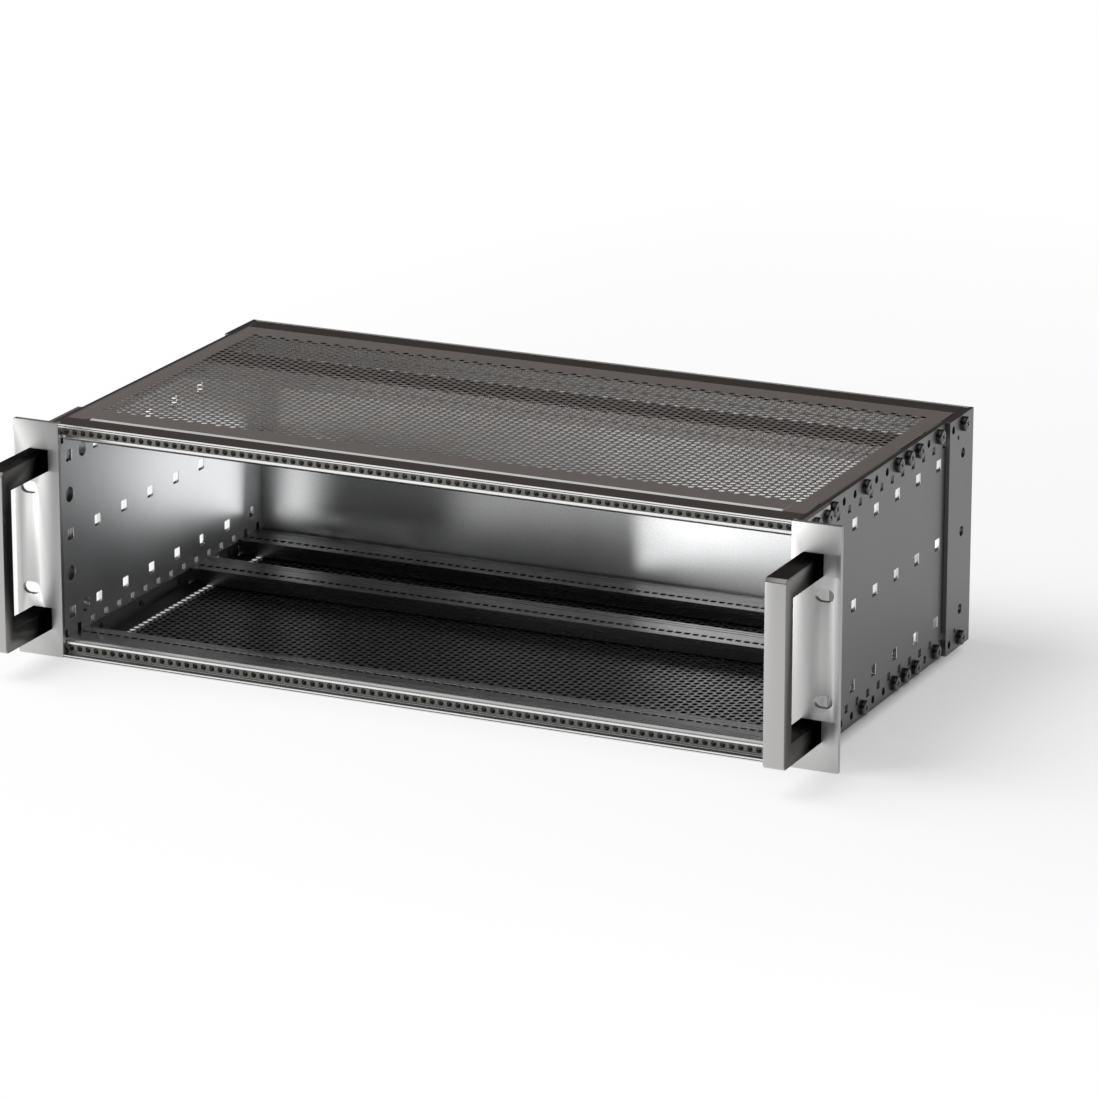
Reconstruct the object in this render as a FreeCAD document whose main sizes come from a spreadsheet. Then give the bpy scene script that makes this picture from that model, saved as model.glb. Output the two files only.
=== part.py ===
import FreeCAD, Part
import math
import os
import re
import Sketcher

# A 19 inch card cage, three units high: two side panels joined by six extruded rails, closed by
# perforated covers and a rear panel, with angle brackets and bow handles at the front.
# X runs to the right, Y from the front to the back and Z up. The cage stands on Z = 0, and the
# origin is at the middle of its footprint. Inside the sketches, depth counts from the face of
# the mounting flanges, and the placement of each piece moves it to the footprint's middle.

# Driving dimensions in millimetres, each with what it measures
SIZES = [
    ("rack_width", 482.6, "over the mounting flanges"),
    ("rack_height", 132.55, "height of the whole cage"),
    ("body_depth", 240.0, "flange face to the back of the rear panel"),
    ("flange_reach", 25.4, "flange edge to the inside of the side panel"),
    ("flange_lap", 2.05, "flange's edge inside the side panel"),
    ("seat_gap", 0.05, "play between pieces that meet"),
    ("panel_sheet", 2.5, "side panel thickness"),
    ("rear_sheet", 2.5, "rear panel thickness"),
    ("cover_sheet", 1.0, "cover thickness"),
    ("flange_sheet", 3.0, "mounting flange thickness"),
    ("leg_sheet", 2.5, "thickness of bracket legs and rear side plates"),
    ("leg_edge", 5.0, "outermost screw to the edge of a leg or side plate"),
    ("slot_edge", 8.75, "flange edge to the middle of a rack slot"),
    ("slot_spacing", 57.15, "rack slots, lower to upper"),
    ("slot_length", 10.3, "rack slot, end to end"),
    ("slot_width", 6.8, "rack slot width"),
    ("handle_edge", 14.35, "flange edge to the middle of the handle"),
    ("handle_reach", 50.0, "flange face to the front of the grip"),
    ("handle_length", 101.4, "over the handle legs"),
    ("handle_width", 10.7, "handle bar, side to side"),
    ("handle_leg", 12.0, "height of a handle leg"),
    ("handle_grip", 11.0, "front to back of the grip"),
    ("handle_corner", 3.0, "outer corner radius of the handle"),
    ("handle_bore", 4.2, "tapped bore in a handle leg"),
    ("handle_bore_depth", 14.0, "depth of that bore"),
    ("rail_height", 10.0, "height of every rail"),
    ("rail_web", 1.6, "upper wall of a rail"),
    ("rail_lip", 1.5, "thickness of the lip along a rail's edge"),
    ("rail_lip_drop", 4.0, "height of that lip"),
    ("front_rail_depth", 28.4, "front rail, front to back"),
    ("mid_rail_depth", 28.4, "middle rail, front to back"),
    ("rail_set", 2.2, "front of the middle or rear rail to its first screw"),
    ("rail_wall", 5.0, "front wall of the middle and rear rails"),
    ("rail_hollow_end", 12.5, "rail edge to the end of the hollow under its web"),
    ("rail_face", 13.4, "outer face of the front and rear rails"),
    ("rail_core", 3.0, "screw to the end of the front rail's core"),
    ("rail_step_depth", 4.4, "step along the back of the middle rail"),
    ("rail_step_height", 4.5, "height of that step"),
    ("rail_groove", 0.5, "width of the fine grooves on the rails"),
    ("rail_groove_pitch", 2.3, "distance between the fine grooves"),
    ("outer_lip", 1.95, "outer lip of the front and rear rails"),
    ("strip_face", 4.0, "front of the rail to the face of the threaded strip"),
    ("strip_sheet", 3.0, "threaded strip, front to back"),
    ("strip_height", 3.8, "threaded strip height"),
    ("strip_centre", 5.03, "outer face of the rail to the line of threaded holes"),
    ("strip_end", 2.4, "side panel to the end of a threaded strip"),
    ("strip_bevel", 1.6, "bevel above the threaded strip"),
    ("unit_pitch", 5.08, "one horizontal unit"),
    ("tapped_hole", 2.5, "threaded hole across its corners"),
    ("cover_gap", 0.4, "gap along the front and back of a cover"),
    ("cover_side_gap", 0.6, "gap beside the flat stretches of a cover"),
    ("cover_fold", 9.5, "height of a cover's folded sides"),
    ("cover_bend", 0.9, "outer bend radius of those folds"),
    ("cover_notch", 1.6, "relief notch at both ends of a fold"),
    ("fold_start_gap", 6.0, "back of a rail to the start of a fold"),
    ("fold_end_gap", 1.8, "end of a fold to the front of the next rail"),
    ("vent_front", 32.0, "flange face to the vented area"),
    ("vent_back", 29.0, "vented area to the back of the rear panel"),
    ("vent_side", 10.9, "side panel to the vented area"),
    ("vent_hole", 36.0, "vent across its corners"),
    ("vent_columns", 8, "vents in a row"),
    ("vent_rows", 2, "pairs of rows of vents"),
    ("depth_steps", 16, "steps of the hole pitch in the depth of the cage"),
    ("screw_hole", 4.3, "round holes for the screws"),
    ("screw_row", 5.5, "panel edge to the row of round holes"),
    ("key_hole", 4.2, "small square holes"),
    ("key_row", 11.5, "panel edge to the row of small square holes"),
    ("grid_hole", 6.2, "large square holes"),
    ("grid_row", 44.45, "distance between their rows"),
    ("access_hole", 8.2, "round holes behind the brackets"),
    ("plate_hole", 5.5, "round holes in the rear side plates"),
    ("pin_hole", 2.5, "small locating holes in the rear side plates"),
    ("screw_bore", 3.6, "bores that a screw bites into"),
    ("screw_thread", 3.0, "screw shank"),
    ("screw_head", 8.2, "screw head"),
    ("screw_head_height", 2.6, "screw head height"),
    ("screw_bite", 7.0, "screw length inside the piece that it holds"),
    ("rear_bore", 2.6, "holes for the rear panel screws"),
    ("rear_thread", 2.2, "rear panel screw shank"),
    ("rear_head", 5.0, "rear panel screw head"),
    ("rear_head_height", 1.7, "rear panel screw head height"),
    ("rear_screw_edge", 12.7, "side panel to the outer rear panel screws"),
]

# Places along the depth that hold a screw, in steps of the hole pitch from the flange face
BRACKET_STEPS = (1, 2)
COVER_STEPS = (3, 6, 9, 13)
RAIL_STEPS = (10, 11)
REAR_STEP = 15
REAR_OPEN_STEP = 14
REAR_PIN_STEP = 14.5

# Sides of the small holes and screws, which repeat too often to be drawn round
HOLE_SIDES = 6
WIDE_HOLE_SIDES = 12
TAPPED_SIDES = 4
HEAD_SIDES = 8
SHANK_SIDES = 4

# Every piece moves back by this much, so that the origin is at the footprint's middle
CENTRING = "(handle_reach - body_depth - rear_head_height) / 2"

doc = FreeCAD.newDocument("card_cage")
sheet = doc.addObject("Spreadsheet::Sheet", "Dim")
for row, (word, size, meaning) in enumerate(SIZES, start=1):
    sheet.set(f"A{row}", meaning)
    sheet.set(f"B{row}", str(size))
    sheet.setAlias(f"B{row}", word)
doc.recompute()


def bound(text):
    """The same expression, with each size word pointing at the sheet."""
    return re.sub(r"[a-z]+(?:_[a-z]+)*(?!\w*\()", lambda word: "Dim." + word.group(), str(text))


def value(text):
    """The number that an expression of size words has now."""
    return float(sheet.evalExpression(str(text)))


# Ways to draw

def new_body(name):
    body = doc.addObject("PartDesign::Body", name)
    body.Label = name
    body.setExpression("Placement.Base.y", bound(CENTRING))
    return body


def new_sketch(body, name, plane, offset="0"):
    """A sketch on one of the body's own planes: XY, XZ (facing the front) or YZ."""
    sketch = body.newObject("Sketcher::SketchObject", name)
    support = next(f for f in body.Origin.OriginFeatures if f.Role == plane + "_Plane")
    sketch.AttachmentSupport = [(support, "")]
    sketch.MapMode = "FlatFace"
    sketch.setExpression(".AttachmentOffset.Base.z", bound(offset))
    return sketch


def hold_point(sketch, geometry, point, across, up):
    """Tie a point of the sketch to two expressions, measured from the sketch's origin."""
    for kind, text in (("DistanceX", across), ("DistanceY", up)):
        index = sketch.addConstraint(
            Sketcher.Constraint(kind, -1, 1, geometry, point, value(text)))
        sketch.setExpression(f"Constraints[{index}]", bound(text))


def outline(sketch, corners):
    """A closed outline of straight edges through corners given as pairs of expressions."""
    spots = [FreeCAD.Vector(value(a), value(b), 0) for a, b in corners]
    first = sketch.GeometryCount
    count = len(spots)
    for i in range(count):
        sketch.addGeometry(Part.LineSegment(spots[i], spots[(i + 1) % count]), False)
    for i in range(count):
        follower = first + (i + 1) % count
        sketch.addConstraint(Sketcher.Constraint("Coincident", first + i, 2, follower, 1))
    for i, (across, up) in enumerate(corners):
        hold_point(sketch, first + i, 1, across, up)


def box_outline(sketch, left, right, low, high):
    outline(sketch, [(left, low), (right, low), (right, high), (left, high)])


def square_hole(sketch, across, up, side):
    box_outline(sketch, f"{across} - {side} / 2", f"{across} + {side} / 2",
                f"{up} - {side} / 2", f"{up} + {side} / 2")


def faceted_hole(sketch, across, up, size, sides=HOLE_SIDES):
    """A round hole drawn with a few flat sides, its corners on the circle."""
    corners = []
    for k in range(sides):
        turn = 2 * math.pi * (k + 0.5) / sides
        corners.append((f"{across} + {size} * {math.cos(turn) / 2:.6f}",
                        f"{up} + {size} * {math.sin(turn) / 2:.6f}"))
    outline(sketch, corners)


def long_slot(sketch, across, up, length, width):
    """A slot with round ends that runs across the sketch."""
    radius = value(width) / 2
    reach = (value(length) - value(width)) / 2
    x, y = value(across), value(up)
    normal = FreeCAD.Vector(0, 0, 1)
    right = sketch.addGeometry(Part.ArcOfCircle(
        Part.Circle(FreeCAD.Vector(x + reach, y, 0), normal, radius),
        -math.pi / 2, math.pi / 2), False)
    left = sketch.addGeometry(Part.ArcOfCircle(
        Part.Circle(FreeCAD.Vector(x - reach, y, 0), normal, radius),
        math.pi / 2, 3 * math.pi / 2), False)
    top = sketch.addGeometry(Part.LineSegment(
        FreeCAD.Vector(x + reach, y + radius, 0),
        FreeCAD.Vector(x - reach, y + radius, 0)), False)
    foot = sketch.addGeometry(Part.LineSegment(
        FreeCAD.Vector(x - reach, y - radius, 0),
        FreeCAD.Vector(x + reach, y - radius, 0)), False)
    for ends in ((right, 2, top, 1), (top, 2, left, 1), (left, 2, foot, 1), (foot, 2, right, 1)):
        sketch.addConstraint(Sketcher.Constraint("Tangent", *ends))
    sketch.addConstraint(Sketcher.Constraint("Equal", right, left))
    hold_point(sketch, right, 3, f"{across} + ({length} - {width}) / 2", up)
    hold_point(sketch, left, 3, f"{across} - ({length} - {width}) / 2", up)
    index = sketch.addConstraint(Sketcher.Constraint("Radius", right, radius))
    sketch.setExpression(f"Constraints[{index}]", bound(f"{width} / 2"))


def pad(body, sketch, length, name, side="One side", turned=False):
    feature = body.newObject("PartDesign::Pad", name)
    feature.Profile = sketch
    feature.SideType = side
    feature.Reversed = turned
    feature.setExpression("Length", bound(length))
    return feature


def cut_through(body, sketch, name):
    """A pocket that runs right through the piece, both ways from its sketch."""
    feature = body.newObject("PartDesign::Pocket", name)
    feature.Profile = sketch
    feature.Type = "ThroughAll"
    feature.SideType = "Symmetric"
    return feature


def repeat(body, feature, name, axis, step, count, second=None):
    """A row of copies of a feature, or a field of them with a second axis, step and count."""
    pattern = body.newObject("PartDesign::LinearPattern", name)
    pattern.Originals = [feature]
    pattern.Direction = (feature.Profile[0], [axis])
    pattern.setExpression("Length", bound(f"({step}) * ({count} - 1)"))
    pattern.setExpression("Occurrences", bound(count))
    if second:
        axis, step, count = second
        pattern.Direction2 = (feature.Profile[0], [axis])
        pattern.setExpression("Length2", bound(f"({step}) * ({count} - 1)"))
        pattern.setExpression("Occurrences2", bound(count))
    body.Tip = pattern
    return pattern


def mirrored(source, name, axis, middle="0"):
    """The piece on the other side: a mirror image across a plane square to the axis."""
    copy = doc.addObject("Part::Mirroring", name)
    copy.Label = name
    copy.Source = source
    copy.Normal = FreeCAD.Vector(axis == "x", axis == "y", axis == "z")
    copy.setExpression("Base." + axis, bound(middle))
    return copy


LOWER = "screw_row"
UPPER = "(rack_height - screw_row)"
MIDDLE = "(rack_height / 2)"
INNER = "(rack_width / 2 - flange_reach)"
PANEL_FACE = "(rack_width / 2 - flange_reach + panel_sheet)"
LEG_FACE = "(rack_width / 2 - flange_reach + panel_sheet + leg_sheet)"
OPENING = "(rack_width / 2 - flange_reach - flange_lap)"
SLOT_LINE = "(rack_width / 2 - slot_edge)"
HANDLE_LINE = "(rack_width / 2 - handle_edge)"
PANEL_END = "(body_depth - rear_sheet)"
HOLE_PITCH = "(body_depth / depth_steps)"


def depth_at(step):
    """The depth of a place in the row of screw holes."""
    return f"{HOLE_PITCH} * {step}"


MID_RAIL_FRONT = f"({depth_at(RAIL_STEPS[0])} - rail_set)"
MID_RAIL_BACK = f"({MID_RAIL_FRONT} + mid_rail_depth)"
REAR_RAIL_FRONT = f"({depth_at(REAR_OPEN_STEP)} - rail_set)"


# Side panel, with its rows of holes

def side_panel(name):
    body = new_body(name)
    plate = new_sketch(body, name + "_plate", "YZ", INNER)
    box_outline(plate, "flange_sheet", PANEL_END, "0", "rack_height")
    pad(body, plate, "panel_sheet", name + "_pad")

    rounds = new_sketch(body, name + "_rounds", "YZ", INNER)
    for height in (LOWER, UPPER):
        faceted_hole(rounds, HOLE_PITCH, height, "screw_hole")
    cut = cut_through(body, rounds, name + "_round_cut")
    repeat(body, cut, name + "_round_row", "H_Axis", HOLE_PITCH, "depth_steps - 1")

    keys = new_sketch(body, name + "_keys", "YZ", INNER)
    for height in ("key_row", "rack_height - key_row"):
        square_hole(keys, depth_at(0.5), height, "key_hole")
    cut = cut_through(body, keys, name + "_key_cut")
    repeat(body, cut, name + "_key_row", "H_Axis", HOLE_PITCH, "depth_steps")

    grid = new_sketch(body, name + "_grid", "YZ", INNER)
    for rows in (-1, 0, 1):
        square_hole(grid, HOLE_PITCH, f"{MIDDLE} + grid_row * {rows}", "grid_hole")
    cut = cut_through(body, grid, name + "_grid_cut")
    repeat(body, cut, name + "_grid_rows", "H_Axis", depth_at(2), "depth_steps / 2")

    access = new_sketch(body, name + "_access", "YZ", INNER)
    for up in (-1, 1):
        faceted_hole(access, depth_at(1), f"{MIDDLE} + grid_row * {up / 2}", "access_hole",
                     WIDE_HOLE_SIDES)
        faceted_hole(access, depth_at(2), f"{MIDDLE} + grid_row * {up}", "access_hole",
                     WIDE_HOLE_SIDES)
    cut_through(body, access, name + "_access_cut")
    return body


# Front bracket: a mounting flange with a leg along the side panel

def front_bracket(name):
    body = new_body(name)
    angle = new_sketch(body, name + "_angle", "XY")
    leg_end = depth_at(BRACKET_STEPS[-1]) + " + leg_edge"
    outline(angle, [
        (OPENING, "0"),
        ("rack_width / 2", "0"),
        ("rack_width / 2", "flange_sheet"),
        (LEG_FACE, "flange_sheet"),
        (LEG_FACE, leg_end),
        (PANEL_FACE, leg_end),
        (PANEL_FACE, "flange_sheet"),
        (OPENING, "flange_sheet"),
    ])
    pad(body, angle, "rack_height", name + "_pad")

    flange = new_sketch(body, name + "_flange_holes", "XZ")
    for up in (-1, 1):
        long_slot(flange, SLOT_LINE, f"{MIDDLE} + slot_spacing * {up / 2}",
                  "slot_length", "slot_width")
        faceted_hole(flange, HANDLE_LINE,
                     f"{MIDDLE} + (handle_length - handle_leg) * {up / 2}", "screw_hole")
    cut_through(body, flange, name + "_flange_cut")

    leg = new_sketch(body, name + "_leg_holes", "YZ")
    for step in BRACKET_STEPS:
        for height in (LOWER, UPPER):
            faceted_hole(leg, depth_at(step), height, "screw_hole")
    cut_through(body, leg, name + "_leg_cut")
    return body


# Bow handle, cut from one bar, with a tapped bore in each leg

def front_handle(name):
    body = new_body(name)
    low = f"{MIDDLE} - handle_length / 2"
    high = f"{MIDDLE} + handle_length / 2"
    grip = "0 - handle_reach + handle_grip"
    bow = new_sketch(body, name + "_bow", "YZ", HANDLE_LINE)
    outline(bow, [
        ("0", low),
        ("0", low + " + handle_leg"),
        (grip, low + " + handle_leg"),
        (grip, high + " - handle_leg"),
        ("0", high + " - handle_leg"),
        ("0", high),
        ("0 - handle_reach", high),
        ("0 - handle_reach", low),
    ])
    bar = pad(body, bow, "handle_width", name + "_pad", side="Symmetric")
    doc.recompute()

    front = -value("handle_reach")
    heights = (value(low), value(high))
    corners = []
    for index, edge in enumerate(bar.Shape.Edges, start=1):
        middle = edge.BoundBox.Center
        along_x = edge.BoundBox.XLength > value("handle_width") / 2
        at_end = min(abs(middle.z - height) for height in heights) < 1e-3
        if along_x and at_end and abs(middle.y - front) < 1e-3:
            corners.append(f"Edge{index}")
    rounding = body.newObject("PartDesign::Fillet", name + "_corners")
    rounding.Base = (bar, corners)
    rounding.setExpression("Radius", bound("handle_corner"))

    bores = new_sketch(body, name + "_bores", "XZ")
    for up in (-1, 1):
        faceted_hole(bores, HANDLE_LINE,
                     f"{MIDDLE} + (handle_length - handle_leg) * {up / 2}", "handle_bore")
    bore = body.newObject("PartDesign::Pocket", name + "_bore_cut")
    bore.Profile = bores
    bore.Reversed = True
    bore.setExpression("Length", bound("handle_bore_depth"))
    return body


# Rear side plate, over the back end of the side panel

def rear_plate(name):
    body = new_body(name)
    plate = new_sketch(body, name + "_plate", "YZ", PANEL_FACE)
    box_outline(plate, depth_at(REAR_OPEN_STEP) + " - leg_edge", "body_depth", "0", "rack_height")
    pad(body, plate, "leg_sheet", name + "_pad")
    holes = new_sketch(body, name + "_holes", "YZ", PANEL_FACE)
    for height in (LOWER, UPPER):
        faceted_hole(holes, depth_at(REAR_STEP), height, "screw_hole")
        faceted_hole(holes, depth_at(REAR_OPEN_STEP), height, "screw_hole")
    for height in ("key_row", "rack_height - key_row"):
        faceted_hole(holes, depth_at(REAR_PIN_STEP), height, "pin_hole")
    for rows in (-1, 0, 1):
        faceted_hole(holes, depth_at(REAR_STEP), f"{MIDDLE} + grid_row * {rows}", "plate_hole")
    cut_through(body, holes, name + "_hole_cut")
    return body


# Rails: one extrusion for the front, one for the middle and one for the back

SEAT = "cover_sheet + seat_gap"
WEB = "rail_height - rail_web"
STRIP_LOW = "strip_centre - strip_height / 2 - seat_gap"
STRIP_HIGH = "strip_centre + strip_height / 2 + seat_gap"
STRIP_BACK = "strip_face + strip_sheet + seat_gap"
RAIL_LENGTH = f"{INNER} * 2 - seat_gap * 2"
STRIP_LENGTH = f"({INNER} * 2 - strip_end * 2)"
UNIT_COUNT = f"floor({STRIP_LENGTH} / unit_pitch)"


def fine_grooves(start, away, count):
    """Corners of a row of fine V grooves on top of a rail, from one depth towards another."""
    corners = []
    for k in range(count):
        middle = f"{start} + rail_groove_pitch * {away * k}"
        corners += [
            (f"{middle} - rail_groove * {away / 2}", "rail_height"),
            (middle, "rail_height - rail_groove"),
            (f"{middle} + rail_groove * {away / 2}", "rail_height"),
        ]
    return corners


def extruded_rail(name, corners, channels):
    body = new_body(name)
    section = new_sketch(body, name + "_section", "YZ")
    outline(section, corners)
    for step in channels:
        faceted_hole(section, depth_at(step), "screw_row", "screw_bore")
    pad(body, section, RAIL_LENGTH, name + "_pad", side="Symmetric")
    return body


def front_rail(name):
    core_end = depth_at(BRACKET_STEPS[0]) + " + rail_core"
    body = extruded_rail(name, [
        ("0", "0"),
        ("rail_face", "0"),
        ("rail_face", SEAT),
        (core_end, SEAT),
        (core_end, WEB),
        ("front_rail_depth - rail_lip", WEB),
        ("front_rail_depth - rail_lip", "rail_height - rail_lip_drop"),
        ("front_rail_depth", "rail_height - rail_lip_drop"),
        ("front_rail_depth", "rail_height"),
        *fine_grooves("strip_face + strip_bevel + rail_groove_pitch * 2.5", -1, 3),
        ("strip_face + strip_bevel", "rail_height"),
        ("strip_face", "rail_height - strip_bevel"),
        ("strip_face", STRIP_HIGH),
        (STRIP_BACK, STRIP_HIGH),
        (STRIP_BACK, STRIP_LOW),
        ("strip_face", STRIP_LOW),
        ("strip_face", "outer_lip"),
        ("0", "outer_lip"),
    ], [BRACKET_STEPS[0]])
    ends = new_sketch(body, name + "_ends", "XY")
    edge = f"{OPENING} - seat_gap"
    beyond = "rack_width / 2"
    back = "flange_sheet + seat_gap"
    box_outline(ends, edge, beyond, "0 - 1 * flange_sheet", back)
    box_outline(ends, f"0 - ({beyond})", f"0 - ({edge})", "0 - 1 * flange_sheet", back)
    cut_through(body, ends, name + "_end_cut")
    return body


def middle_rail(name):
    front = MID_RAIL_FRONT
    end = MID_RAIL_BACK
    return extruded_rail(name, [
        (front, SEAT),
        (f"{front} + rail_wall", SEAT),
        (f"{front} + rail_wall", WEB),
        (f"{front} + rail_hollow_end", WEB),
        (f"{front} + rail_hollow_end", SEAT),
        (end, SEAT),
        (end, "rail_step_height"),
        (f"{end} - rail_step_depth", "rail_step_height"),
        (f"{end} - rail_step_depth", "rail_height"),
        *fine_grooves(f"{end} - rail_step_depth - rail_groove_pitch * 0.5", -1, 3),
        (front, "rail_height"),
    ], RAIL_STEPS)


def rear_rail(name):
    front = REAR_RAIL_FRONT
    end = PANEL_END
    return extruded_rail(name, [
        (front, SEAT),
        (f"{front} + rail_wall", SEAT),
        (f"{front} + rail_wall", WEB),
        (f"{front} + rail_hollow_end", WEB),
        (f"{front} + rail_hollow_end", SEAT),
        (f"{end} - rail_face", SEAT),
        (f"{end} - rail_face", "0"),
        (end, "0"),
        (end, "outer_lip"),
        (f"{end} - strip_face", "outer_lip"),
        (f"{end} - strip_face", STRIP_LOW),
        (f"{end} - ({STRIP_BACK})", STRIP_LOW),
        (f"{end} - ({STRIP_BACK})", STRIP_HIGH),
        (f"{end} - strip_face", STRIP_HIGH),
        (f"{end} - strip_face", "rail_height - strip_bevel"),
        (f"{end} - strip_face - strip_bevel", "rail_height"),
        *fine_grooves(f"{end} - strip_face - strip_bevel - rail_groove_pitch * 0.5", -1, 3),
        (front, "rail_height"),
    ], [REAR_OPEN_STEP, REAR_STEP])


# Threaded strips, which slide into the slots of the front and rear rails

def threaded_strip(name, face, hole_size, sides, first, step, count):
    """A bar whose nearer face is at a given depth, with a row of threaded holes."""
    body = new_body(name)
    bar = new_sketch(body, name + "_bar", "XZ", f"0 - ({face})")
    box_outline(bar, f"0 - {STRIP_LENGTH} / 2", f"{STRIP_LENGTH} / 2",
                "strip_centre - strip_height / 2", "strip_centre + strip_height / 2")
    pad(body, bar, "strip_sheet", name + "_pad", turned=True)
    hole = new_sketch(body, name + "_hole", "XZ", f"0 - ({face})")
    faceted_hole(hole, first, "strip_centre", hole_size, sides)
    cut = cut_through(body, hole, name + "_hole_cut")
    repeat(body, cut, name + "_hole_row", "H_Axis", step, count)
    return body


# Perforated cover with sides folded in where no rail meets the side panels

def cover(name):
    body = new_body(name)
    flat = f"{INNER} - cover_side_gap"
    folded = f"{INNER} - seat_gap"
    folds = (("front_rail_depth + fold_start_gap", f"{MID_RAIL_FRONT} - fold_end_gap"),
             (f"{MID_RAIL_BACK} + fold_start_gap", f"{REAR_RAIL_FRONT} - fold_end_gap"))
    front = "rail_face + cover_gap"
    back = f"{PANEL_END} - rail_face - cover_gap"
    side = [(flat, front)]
    inside = f"{folded} - cover_notch"
    for start, end in folds:
        before = f"{start} - cover_notch"
        beyond = f"{end} + cover_notch"
        side += [(flat, before), (inside, before), (inside, start), (folded, start),
                 (folded, end), (inside, end), (inside, beyond), (flat, beyond)]
    side += [(flat, back)]
    other = [(f"0 - ({across})", depth) for across, depth in reversed(side)]
    sheet_metal = new_sketch(body, name + "_sheet", "XY")
    outline(sheet_metal, side + other)
    pad(body, sheet_metal, "cover_sheet", name + "_pad")

    walls = new_sketch(body, name + "_walls", "XY")
    for start, end in folds:
        box_outline(walls, f"{folded} - cover_sheet", folded, start, end)
        box_outline(walls, f"0 - ({folded})", f"0 - ({folded} - cover_sheet)", start, end)
    folded_sheet = pad(body, walls, "cover_fold", name + "_wall_pad")
    doc.recompute()

    bends = []
    for index, edge in enumerate(folded_sheet.Shape.Edges, start=1):
        box = edge.BoundBox
        long_way = box.YLength > value("cover_fold") and box.XLength < 1e-3
        at_side = abs(abs(box.XMin) - value(folded)) < 1e-3
        if long_way and at_side and box.ZMax < 1e-3:
            bends.append(f"Edge{index}")
    rounding = body.newObject("PartDesign::Fillet", name + "_bends")
    rounding.Base = (folded_sheet, bends)
    rounding.setExpression("Radius", bound("cover_bend"))

    holes = new_sketch(body, name + "_fold_holes", "YZ")
    for step in COVER_STEPS:
        faceted_hole(holes, depth_at(step), "screw_row", "screw_bore")
    cut_through(body, holes, name + "_fold_cut")

    half = f"({INNER} - vent_side)"
    column = f"({half} * 2 / (vent_columns + 0.5))"
    row = "((body_depth - vent_back - vent_front) / vent_rows)"
    vents = new_sketch(body, name + "_vents", "XY")
    faceted_hole(vents, f"{column} * 0.5 - {half}", f"vent_front + {row} * 0.25", "vent_hole")
    faceted_hole(vents, f"{column} - {half}", f"vent_front + {row} * 0.75", "vent_hole")
    cut = cut_through(body, vents, name + "_vent_cut")
    repeat(body, cut, name + "_vent_field", "H_Axis", column, "vent_columns",
           ("V_Axis", row, "vent_rows"))
    return body


def rear_screw_places():
    """Where the screws of the rear panel sit, as pairs of expressions."""
    return [(f"({INNER} - rear_screw_edge) * {column}", height)
            for column in (-1, 0, 1)
            for height in ("strip_centre", "rack_height - strip_centre")]


def rear_panel(name):
    body = new_body(name)
    plate = new_sketch(body, name + "_plate", "XZ", f"0 - ({PANEL_END})")
    box_outline(plate, f"0 - ({PANEL_FACE})", PANEL_FACE, "0", "rack_height")
    pad(body, plate, "rear_sheet", name + "_pad", turned=True)
    holes = new_sketch(body, name + "_holes", "XZ", f"0 - ({PANEL_END})")
    for across, up in rear_screw_places():
        faceted_hole(holes, across, up, "rear_bore")
    cut_through(body, holes, name + "_hole_cut")
    return body


# Screws: each group is one shape of separate solids, drawn from the same sizes

def screw(seat, way, head, head_height, thread, reach):
    """A pan head screw: its head lies on the seat and its shank runs the given way."""
    def prism(diameter, start, length, sides):
        turn = FreeCAD.Rotation(FreeCAD.Vector(0, 0, 1), way)
        ring = []
        for k in range(sides + 1):
            angle = 2 * math.pi * k / sides
            spot = FreeCAD.Vector(math.cos(angle), math.sin(angle), 0) * (diameter / 2)
            ring.append(seat + way * start + turn.multVec(spot))
        return Part.Face(Part.makePolygon(ring)).extrude(way * length)
    return prism(head, -head_height, head_height, HEAD_SIDES).fuse(
        prism(thread, 0, reach, SHANK_SIDES))


def screw_group(name, seats, way, head, head_height, thread, reach):
    group = doc.addObject("Part::Feature", name)
    group.Label = name
    direction = FreeCAD.Vector(*way)
    solids = []
    for across, depth, up in seats:
        seat = FreeCAD.Vector(value(across), value(depth), value(up))
        solids.append(screw(seat, direction, value(head), value(head_height),
                            value(thread), value(reach)))
    group.Shape = Part.makeCompound(solids)
    group.setExpression("Placement.Base.y", bound(CENTRING))
    return group


def side_screws(name, face, steps, reach):
    seats = [(face, depth_at(step), height) for step in steps for height in (LOWER, UPPER)]
    return screw_group(name, seats, (-1, 0, 0), "screw_head", "screw_head_height",
                       "screw_thread", reach)


# The pieces of the right side and of the bottom, each with its mirror image

pieces = []
for right_name, left_name, make in (
        ("right_side_panel", "left_side_panel", side_panel),
        ("right_front_bracket", "left_front_bracket", front_bracket),
        ("right_front_handle", "left_front_handle", front_handle),
        ("right_rear_plate", "left_rear_plate", rear_plate)):
    right = make(right_name)
    pieces += [right, mirrored(right, left_name, "x")]

for low_name, high_name, make in (
        ("front_bottom_rail", "front_top_rail", front_rail),
        ("middle_bottom_rail", "middle_top_rail", middle_rail),
        ("rear_bottom_rail", "rear_top_rail", rear_rail),
        ("bottom_cover", "top_cover", cover)):
    low = make(low_name)
    pieces += [low, mirrored(low, high_name, "z", MIDDLE)]

low = threaded_strip("front_bottom_strip", "strip_face", "tapped_hole", TAPPED_SIDES,
                     f"unit_pitch * (0.5 - {UNIT_COUNT} / 2)", "unit_pitch", UNIT_COUNT)
pieces += [low, mirrored(low, "front_top_strip", "z", MIDDLE)]
low = threaded_strip("rear_bottom_strip", f"{PANEL_END} - strip_face - strip_sheet",
                     "rear_bore", HOLE_SIDES, f"rear_screw_edge - {INNER}",
                     f"({INNER} - rear_screw_edge)", "3")
pieces += [low, mirrored(low, "rear_top_strip", "z", MIDDLE)]
pieces.append(rear_panel("rear_panel"))

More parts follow.
